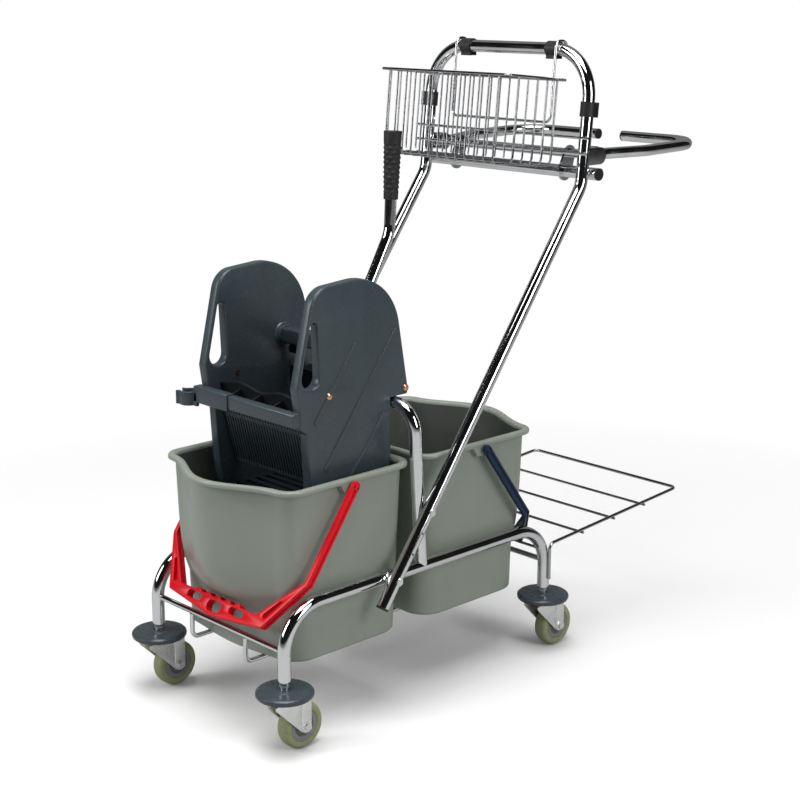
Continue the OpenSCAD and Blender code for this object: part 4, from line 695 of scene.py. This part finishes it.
def clip_ring():
    """Line of the mop clip's C from above, with a lip that flares outwards at both ends."""
    start = RING_OPENING + RING_OPENING_HALF
    end = RING_OPENING + 360 - RING_OPENING_HALF
    first = polar(RING_AT, RING_R + RING_LIP_R, start)
    last = polar(RING_AT, RING_R + RING_LIP_R, end)
    lip_in = arc(first, RING_LIP_R, start + 180 + RING_LIP_TURN, start + 180, 8)[:-1]
    lip_out = arc(last, RING_LIP_R, end + 180, end + 180 - RING_LIP_TURN, 8)[1:]
    return lip_in + arc(RING_AT, RING_R, start, end, 40) + lip_out


def mop_clip():
    """Sleeve over the left end of the front bar, with a springy C that has flared lips."""
    face, low, high = BAR_FACE - CLIP_WALL, BAR_LOW - CLIP_WALL, BAR_HIGH + CLIP_WALL
    inner_face, inner_low, inner_high = BAR_FACE - SEAT_GAP, BAR_LOW - SEAT_GAP, BAR_HIGH + SEAT_GAP
    under_end, over_end = BAR_FACE + 4, BAR_BACK - 2
    sleeve = [(face, low), (under_end, low), (under_end, inner_low), (inner_face, inner_low),
              (inner_face, inner_high), (over_end, inner_high), (over_end, high), (face, high)]
    shape = Shape().add(*along_x(rounded(sleeve, CLIP_RADII, 4), CLIP_LEFT, CLIP_RIGHT, 0.6))
    ring_low, ring_high = BAR_LOW - RING_DROP, BAR_HIGH - RING_DROP
    ring = slab([ribbon(clip_ring(), RING_HALF_T)], rounded_edge(ring_high - ring_low, 0.9, 3))
    shape.add(ring, at(0, 0, (ring_low + ring_high) / 2))
    shape.add(block((RING_NECK_X, face, ring_low), (CLIP_LEFT + 8, face + 6, ring_high), 1.2))
    shape.piece("mop_clip_moulding", "wringer", SLATE_PLASTIC, "slate_plastic", "mop_clip")


def grille():
    """Upright slats with rounded fronts, and the two rails that tie them to the side plates."""
    shape = Shape()
    pitch = 2 * (INSIDE_X - SLAT_MARGIN) / (SLAT_COUNT - 1)
    for i in range(SLAT_COUNT):
        left = -INSIDE_X + SLAT_MARGIN + i * pitch - SLAT_W / 2
        right = left + SLAT_W
        corners = [(left, 0), (right, 0), (right, SLAT_T), (left, SLAT_T)]
        slat = slab([rounded(corners, SLAT_CORNERS, 4)], rounded_edge(SLAT_LEN, 0.6, 2))
        shape.add(slat, LEANING @ at(0, 0, -SLAT_LEN / 2))
    for z in (-SLAT_LEN, UPPER_RAIL_Z):
        shape.add(block((-INSIDE_X, RAIL_FRONT, z), (INSIDE_X, RAIL_BACK, z + RAIL_H)), LEANING)
    shape.piece("grille_moulding", "wringer", GRILLE_PLASTIC, "slate_plastic", "wringer_grille")


def press_plate():
    """Panel with a wavy upper edge, and thin ribs that slope from it down to the front bar."""
    depth = RAIL_BACK + SEAT_GAP + PANEL_T / 2
    turns = [2 * math.pi * WAVES * i / WAVE_STEPS for i in range(WAVE_STEPS + 1)]
    wavy = [(INSIDE_X - 2 * INSIDE_X * i / WAVE_STEPS, PANEL_TOP - WAVE * math.cos(a))
            for i, a in enumerate(turns)]
    outline = [(-INSIDE_X, PANEL_LOW), (INSIDE_X, PANEL_LOW)] + wavy
    lay = LEANING @ at(0, depth, 0) @ Matrix.Rotation(math.pi / 2, 4, "X")
    shape = Shape().add(slab([outline], rounded_edge(PANEL_T, 0.7, 3)), lay)
    low, top = BAR_LOW + PANEL_RIB_RISE, BAR_HIGH + PANEL_RIB_RISE
    front, back = BAR_BACK + SEAT_GAP, LEAN_Y + depth / math.cos(LEAN)
    back_low, back_top = [back - (z - LEAN_Z) * math.tan(LEAN) for z in (low, top)]
    corners = [(front, low), (back_low, low), (back_top, top), (front, top - PANEL_RIB_FALL)]
    rib = slab([rounded(corners, 0.5, 3)], rounded_edge(PANEL_RIB_T, 0.9, 3))
    for i in (-1, 0, 1):
        shape.add(rib, upright(i * INSIDE_X / 2))
    # The press plate gets the near-black copy of the slate: painted shade
    shape.piece("press_plate_moulding", "wringer", INNER_PLASTIC_PAINTED_SHADE, "slate_plastic", "front_press_plate")


def rivet_heads():
    """Domed heads on the outer faces of both side plates."""
    shape = Shape()
    for y, z in RIVETS:
        for side in (1, -1):
            shape.add(revolve(RIVET_DOME, 32), at(side * PLATE_OUT, y, z) @ across(side))
    shape.piece("rivet_domes", "wringer", COPPER, "copper_rivet")


front_bar()
mop_clip()
grille()
press_plate()
rivet_heads()


# Casters; profiles are radius and height pairs, or radius and place across for the wheels

LEG_X, LEG_Y, TRAIL, AXLE_Z = 172, 311.5, 30, 40
CORNERS = {"front_right": (1, -1), "front_left": (-1, -1), "rear_right": (1, 1), "rear_left": (-1, 1)}
DISC_Z = 98
DISC = [(7.6, 0), (43.5, 0), (46.4, 0.9), (47.6, 3), (47.9, 5.4), (47.4, 8), (45.6, 9.9), (42.5, 10.9),
        (25, 11.3), (21.5, 11.7), (20.2, 12.6), (18.6, 13), (7.6, 13)]
HUB_HALF = [(4.1, -14.5), (8.2, -14.5), (9.2, -13.6), (9.8, -6.4), (16.8, -6.0), (18.2, -10.6),
            (19.4, -11.8), (26.2, -11.8), (27, -11.2)]
TYRE_HALF = [(27.05, -11.4), (28.2, -12.6), (31, -13), (34.5, -12.8), (37.2, -11.4), (38.8, -8.8),
             (39.6, -5)]
TREAD = (40, 0)
WEB, WEB_X, WEB_T = [(41, 92), (-32, 92), (-32, 86), (22, 31.5), (41, 36)], 16.4, 1.8
WEB_CORNERS = [3, 2, 3, 8, 6]
STRAP_R, STRAP_X, STRAP_TOP = 10.5, 17.2, 91
STRAP_EDGE = [(0, -0.6), (0, 1.0), (0.3, 1.3), (1.0, 1.5)]
CROWN, CROWN_CORNERS = [(-18.5, -22), (18.5, -22), (18.5, 41), (-18.5, 41)], [6, 6, 4, 4]
CROWN_Z, CROWN_T = 90, 4
RACE = [(6.1, 88), (20, 88), (20, 95.5), (19, 97), (17.5, 97.7), (6.1, 97.7)]


def mirrored(half, *middle):
    """Half profile completed with its mirror image on the other side of the wheel's middle."""
    return half + list(middle) + [(r, -x) for r, x in half[::-1]]


def fork(place):
    """Pressed fork: webs that taper to the front, raised straps down to the axle, crown and race."""
    shape = Shape()
    web = slab([rounded(WEB, WEB_CORNERS)], rounded_edge(WEB_T, 0.5, 2))
    strap_foot = arc((TRAIL, AXLE_Z), STRAP_R, 180, 360, 14)
    strap = slab([strap_foot + [(TRAIL + STRAP_R, STRAP_TOP), (TRAIL - STRAP_R, STRAP_TOP)]], STRAP_EDGE)
    for side in (1, -1):
        shape.add(web, place @ mirror(side) @ upright(WEB_X))
        shape.add(strap, place @ mirror(side) @ upright(STRAP_X))
    crown = slab([rounded(CROWN, CROWN_CORNERS)], rounded_edge(CROWN_T, 1.4, 3))
    shape.add(crown, place @ at(0, 0, CROWN_Z))
    return shape.add(revolve(RACE, 48), place)


discs = Shape()
for corner, (side_x, side_y) in CORNERS.items():
    swivel = at(side_x * LEG_X, side_y * LEG_Y, 0)
    spin = swivel @ at(0, TRAIL, AXLE_Z) @ across()
    fork(swivel).piece("fork_pressing_" + corner, "caster_" + corner, ZINC, "zinc_steel", "fork_" + corner)
    hub = Shape().add(hoop(mirrored(HUB_HALF), 64), spin)
    hub.piece("hub_moulding_" + corner, "wheel_" + corner, HUB_PLASTIC, "hub_plastic", "hub_" + corner)
    tyre = Shape().add(hoop(mirrored(TYRE_HALF, TREAD), 96), spin)
    tyre.piece("tyre_ring_" + corner, "wheel_" + corner, TYRE, "tyre_rubber", "tyre_" + corner)
    discs.add(hoop(DISC, 96), swivel @ at(0, 0, DISC_Z))
discs.piece("bumper_disc_mouldings", "frame", SLATE_PLASTIC, "slate_plastic", "bumper_discs")


# Lever: sleeve on the shaft and knobbed grip

SLEEVE_HALF, SLEEVE_CORNER, SLEEVE_END_GAP = 13.5, 5, 9.5
JOURNAL_R, JOURNAL_X = 8, PLATE_IN + 9.5
LEVER_X = 50
LEVER_BEND, LEVER_TOP = Vector((36, 797)), Vector((44, 964))
GRIP_L, GRIP_TOP_R, GRIP_LOW_R, GRIP_PAST_TOP = 114, 15.5, 12.2, 4
GRIP_STEPS, GRIP_LEVELS, GRIP_TAPER = 84, 150, 0.8
KNOB_ROW, KNOB_WAVES, KNOB_SINK, KNOB_RISE = 8.2, 3, 0.9, 1.6
COLLAR_LOW, COLLAR_TOP, COLLAR_RAMP = 0.07, 0.86, 14
END_SHRINK, CAP_SHRINKS, FOOT_SHRINKS = 0.97, (0.92, 0.5), (0.85, 0.95)


def shaft_sleeve():
    """Square moulded sleeve on the shaft, with the round ends that turn in the side plates."""
    half, end = SLEEVE_HALF, PLATE_IN - SLEEVE_END_GAP
    square = rounded([(-half, -half), (half, -half), (half, half), (-half, half)], SLEEVE_CORNER)
    body, lie = along_x(square, -end, end, 1.2)
    journal = [(0, -JOURNAL_X), (JOURNAL_R, -JOURNAL_X), (JOURNAL_R, JOURNAL_X), (0, JOURNAL_X)]
    shape = Shape().add(body, at(0, *SHAFT) @ lie)
    shape.add(revolve(journal, 48), at(0, *SHAFT) @ across())
    shape.piece("lever_shaft_sleeve", "lever", GRILLE_PLASTIC, "slate_plastic", "lever_shaft")


def shrunk(ring, factor):
    return [(x * factor, y * factor, z) for x, y, z in ring]


def grip_skin():
    """Tapered sleeve with staggered rows of round knobs and a plain collar at both ends."""
    rings = []
    for k in range(GRIP_LEVELS + 1):
        h = k / GRIP_LEVELS
        radius = GRIP_LOW_R + (GRIP_TOP_R - GRIP_LOW_R) * h ** GRIP_TAPER
        row = h * GRIP_L / KNOB_ROW
        above = min(1, max(0, (h - COLLAR_LOW) * COLLAR_RAMP))
        below = min(1, max(0, (COLLAR_TOP - h) * COLLAR_RAMP))
        stagger = math.pi / 2 * (int(row) % 2)
        ring = []
        for i in range(GRIP_STEPS):
            a = 2 * math.pi * i / GRIP_STEPS
            knob = math.sin(math.pi * row) ** 2 * math.cos(KNOB_WAVES * a + stagger) ** 2
            r = radius + above * below * (KNOB_RISE * knob - KNOB_SINK)
            ring.append((r * math.cos(a), r * math.sin(a), h * GRIP_L - GRIP_L + GRIP_PAST_TOP))
        rings.append(ring)
    rings[-1] = shrunk(rings[-1], END_SHRINK)
    cap = [shrunk(rings[-1], factor) for factor in CAP_SHRINKS]
    foot = [shrunk(rings[0], factor) for factor in FOOT_SHRINKS]
    return loft(foot + rings + cap)


def lever_grip():
    """Grip on the upper end of the lever tube."""
    rise = LEVER_TOP - LEVER_BEND
    lean = Matrix.Rotation(-math.atan2(rise.x, rise.y), 4, "X")
    shape = Shape().add(grip_skin(), at(LEVER_X, *LEVER_TOP) @ lean)
    shape.piece("lever_grip_sleeve", "lever", GRIP, "grip_rubber", "lever_grip", sharp=60)


shaft_sleeve()
lever_grip()


# Stage in metres: pale floor, soft lamps, a dark drape that only reflections see, and a white surround

FLOOR_HALF, FLOOR_Z, FLOOR_ALBEDO = 8, -0.0005, 0.92
FLOOR_FADE_START, FLOOR_FADE_END = 0.7, 1.7
LAMP_TARGET = Vector((0, -0.1, 0.5))
DRAPE_HALF_ANGLE, DRAPE_STEPS = 130, 40
# Drape from its foot up and over: distance from the trolley and height
DRAPE_PROFILE = [(5.2, 0.4), (5.2, 3.0), (4.0, 4.6), (0.3, 5.4)]
SKY_LIGHT, SKY_IN_MIRRORS, SKY_SEEN = 0.34, 0.2, 1.0


def floor_finish():
    """Floor that keeps the shadow near the object and fades into the white surround.
    It throws less light back at the object than the camera sees."""
    finish = Finish("pale_floor", (FLOOR_ALBEDO, FLOOR_ALBEDO, FLOOR_ALBEDO), 0.9)
    seen = finish.node("ShaderNodeLightPath").outputs["Is Camera Ray"]
    albedo = finish.spread(seen, 0.5 * FLOOR_ALBEDO, FLOOR_ALBEDO, 0, 1)
    finish.join(albedo, finish.shader.inputs["Base Color"])
    distance = finish.node("ShaderNodeVectorMath", operation="LENGTH")
    finish.join(finish.place, distance.inputs[0])
    fade = finish.spread(distance.outputs["Value"], 0.0, 1.0, FLOOR_FADE_START, FLOOR_FADE_END)
    amount = finish.node("ShaderNodeMath", operation="MULTIPLY")
    finish.join(seen, amount.inputs[0])
    finish.join(fade, amount.inputs[1])
    white = finish.node("ShaderNodeEmission", Color=(1, 1, 1, 1), Strength=1.0)
    mix = finish.node("ShaderNodeMixShader")
    finish.join(amount.outputs[0], mix.inputs["Fac"])
    finish.join(finish.shader.outputs["BSDF"], mix.inputs[1])
    finish.join(white.outputs["Emission"], mix.inputs[2])
    finish.join(mix.outputs["Shader"], finish.tree.nodes["Material Output"].inputs["Surface"])
    return finish.material


def stage_piece(name, points, faces, material):
    """Part of the surroundings, made from points in metres."""
    mesh = bpy.data.meshes.new(name)
    mesh.from_pydata(points, [], faces)
    mesh.materials.append(material)
    made = new_object(name, mesh)
    return made


def soft_lamp(name, position, size, power):
    """Rectangular lamp that points at the trolley."""
    data = bpy.data.lights.new(name, "AREA")
    data.shape = "RECTANGLE"
    data.size, data.size_y = size
    data.energy = power
    look = LAMP_TARGET - Vector(position)
    lamp = new_object(name, data)
    lamp.matrix_world = at(*position) @ look.to_track_quat("-Z", "Y").to_matrix().to_4x4()


def dark_drape():
    """Drape behind the camera and over the top that only reflections show, as dark lines."""
    finish = Finish("studio_drape", BLACK, 0.9)
    finish.tint(finish.noise(scale=3, detail=2.0), (0.008, 0.008, 0.009), (0.018, 0.018, 0.018))
    points = []
    for i in range(DRAPE_STEPS + 1):
        a = math.radians(CAMERA_AZIMUTH - DRAPE_HALF_ANGLE + 2 * DRAPE_HALF_ANGLE * i / DRAPE_STEPS)
        points += [(r * math.sin(a), -r * math.cos(a), z) for r, z in DRAPE_PROFILE]
    n = len(DRAPE_PROFILE)
    corners = [i * n + k for i in range(DRAPE_STEPS) for k in range(n - 1)]
    faces = [(c, c + 1, c + n + 1, c + n) for c in corners]
    drape = stage_piece("studio_drape", points, faces, finish.material)
    drape.visible_camera = False
    drape.visible_diffuse = False
    drape.visible_shadow = False


def white_surround():
    """World that the camera sees as white, and that lights the trolley and its reflections less."""
    world = bpy.data.worlds.new("surround")
    world.use_nodes = True
    bpy.context.scene.world = world
    sky = world.node_tree
    path = sky.nodes.new("ShaderNodeLightPath")
    in_mirrors = sky.nodes.new("ShaderNodeMapRange")
    in_mirrors.inputs["To Min"].default_value = SKY_LIGHT
    in_mirrors.inputs["To Max"].default_value = SKY_IN_MIRRORS
    sky.links.new(path.outputs["Is Glossy Ray"], in_mirrors.inputs["Value"])
    to_camera = sky.nodes.new("ShaderNodeMapRange")
    to_camera.inputs["To Max"].default_value = SKY_SEEN
    sky.links.new(path.outputs["Is Camera Ray"], to_camera.inputs["Value"])
    sky.links.new(in_mirrors.outputs["Result"], to_camera.inputs["To Min"])
    background = sky.nodes["Background"]
    background.inputs["Color"].default_value = (1, 1, 1, 1)
    sky.links.new(to_camera.outputs["Result"], background.inputs["Strength"])


signs = [(-1, -1), (1, -1), (1, 1), (-1, 1)]
floor_corners = [(x * FLOOR_HALF, y * FLOOR_HALF, FLOOR_Z) for x, y in signs]
stage_piece("floor", floor_corners, [(0, 1, 2, 3)], floor_finish())
soft_lamp("top_softbox", (0.3, -0.6, 3.2), (2.0, 2.0), 88)
soft_lamp("left_softbox", (-1.6, -3.0, 1.9), (1.2, 1.8), 48)
soft_lamp("right_softbox", (3.2, 0.2, 1.8), (1.0, 2.0), 40)
dark_drape()
white_surround()
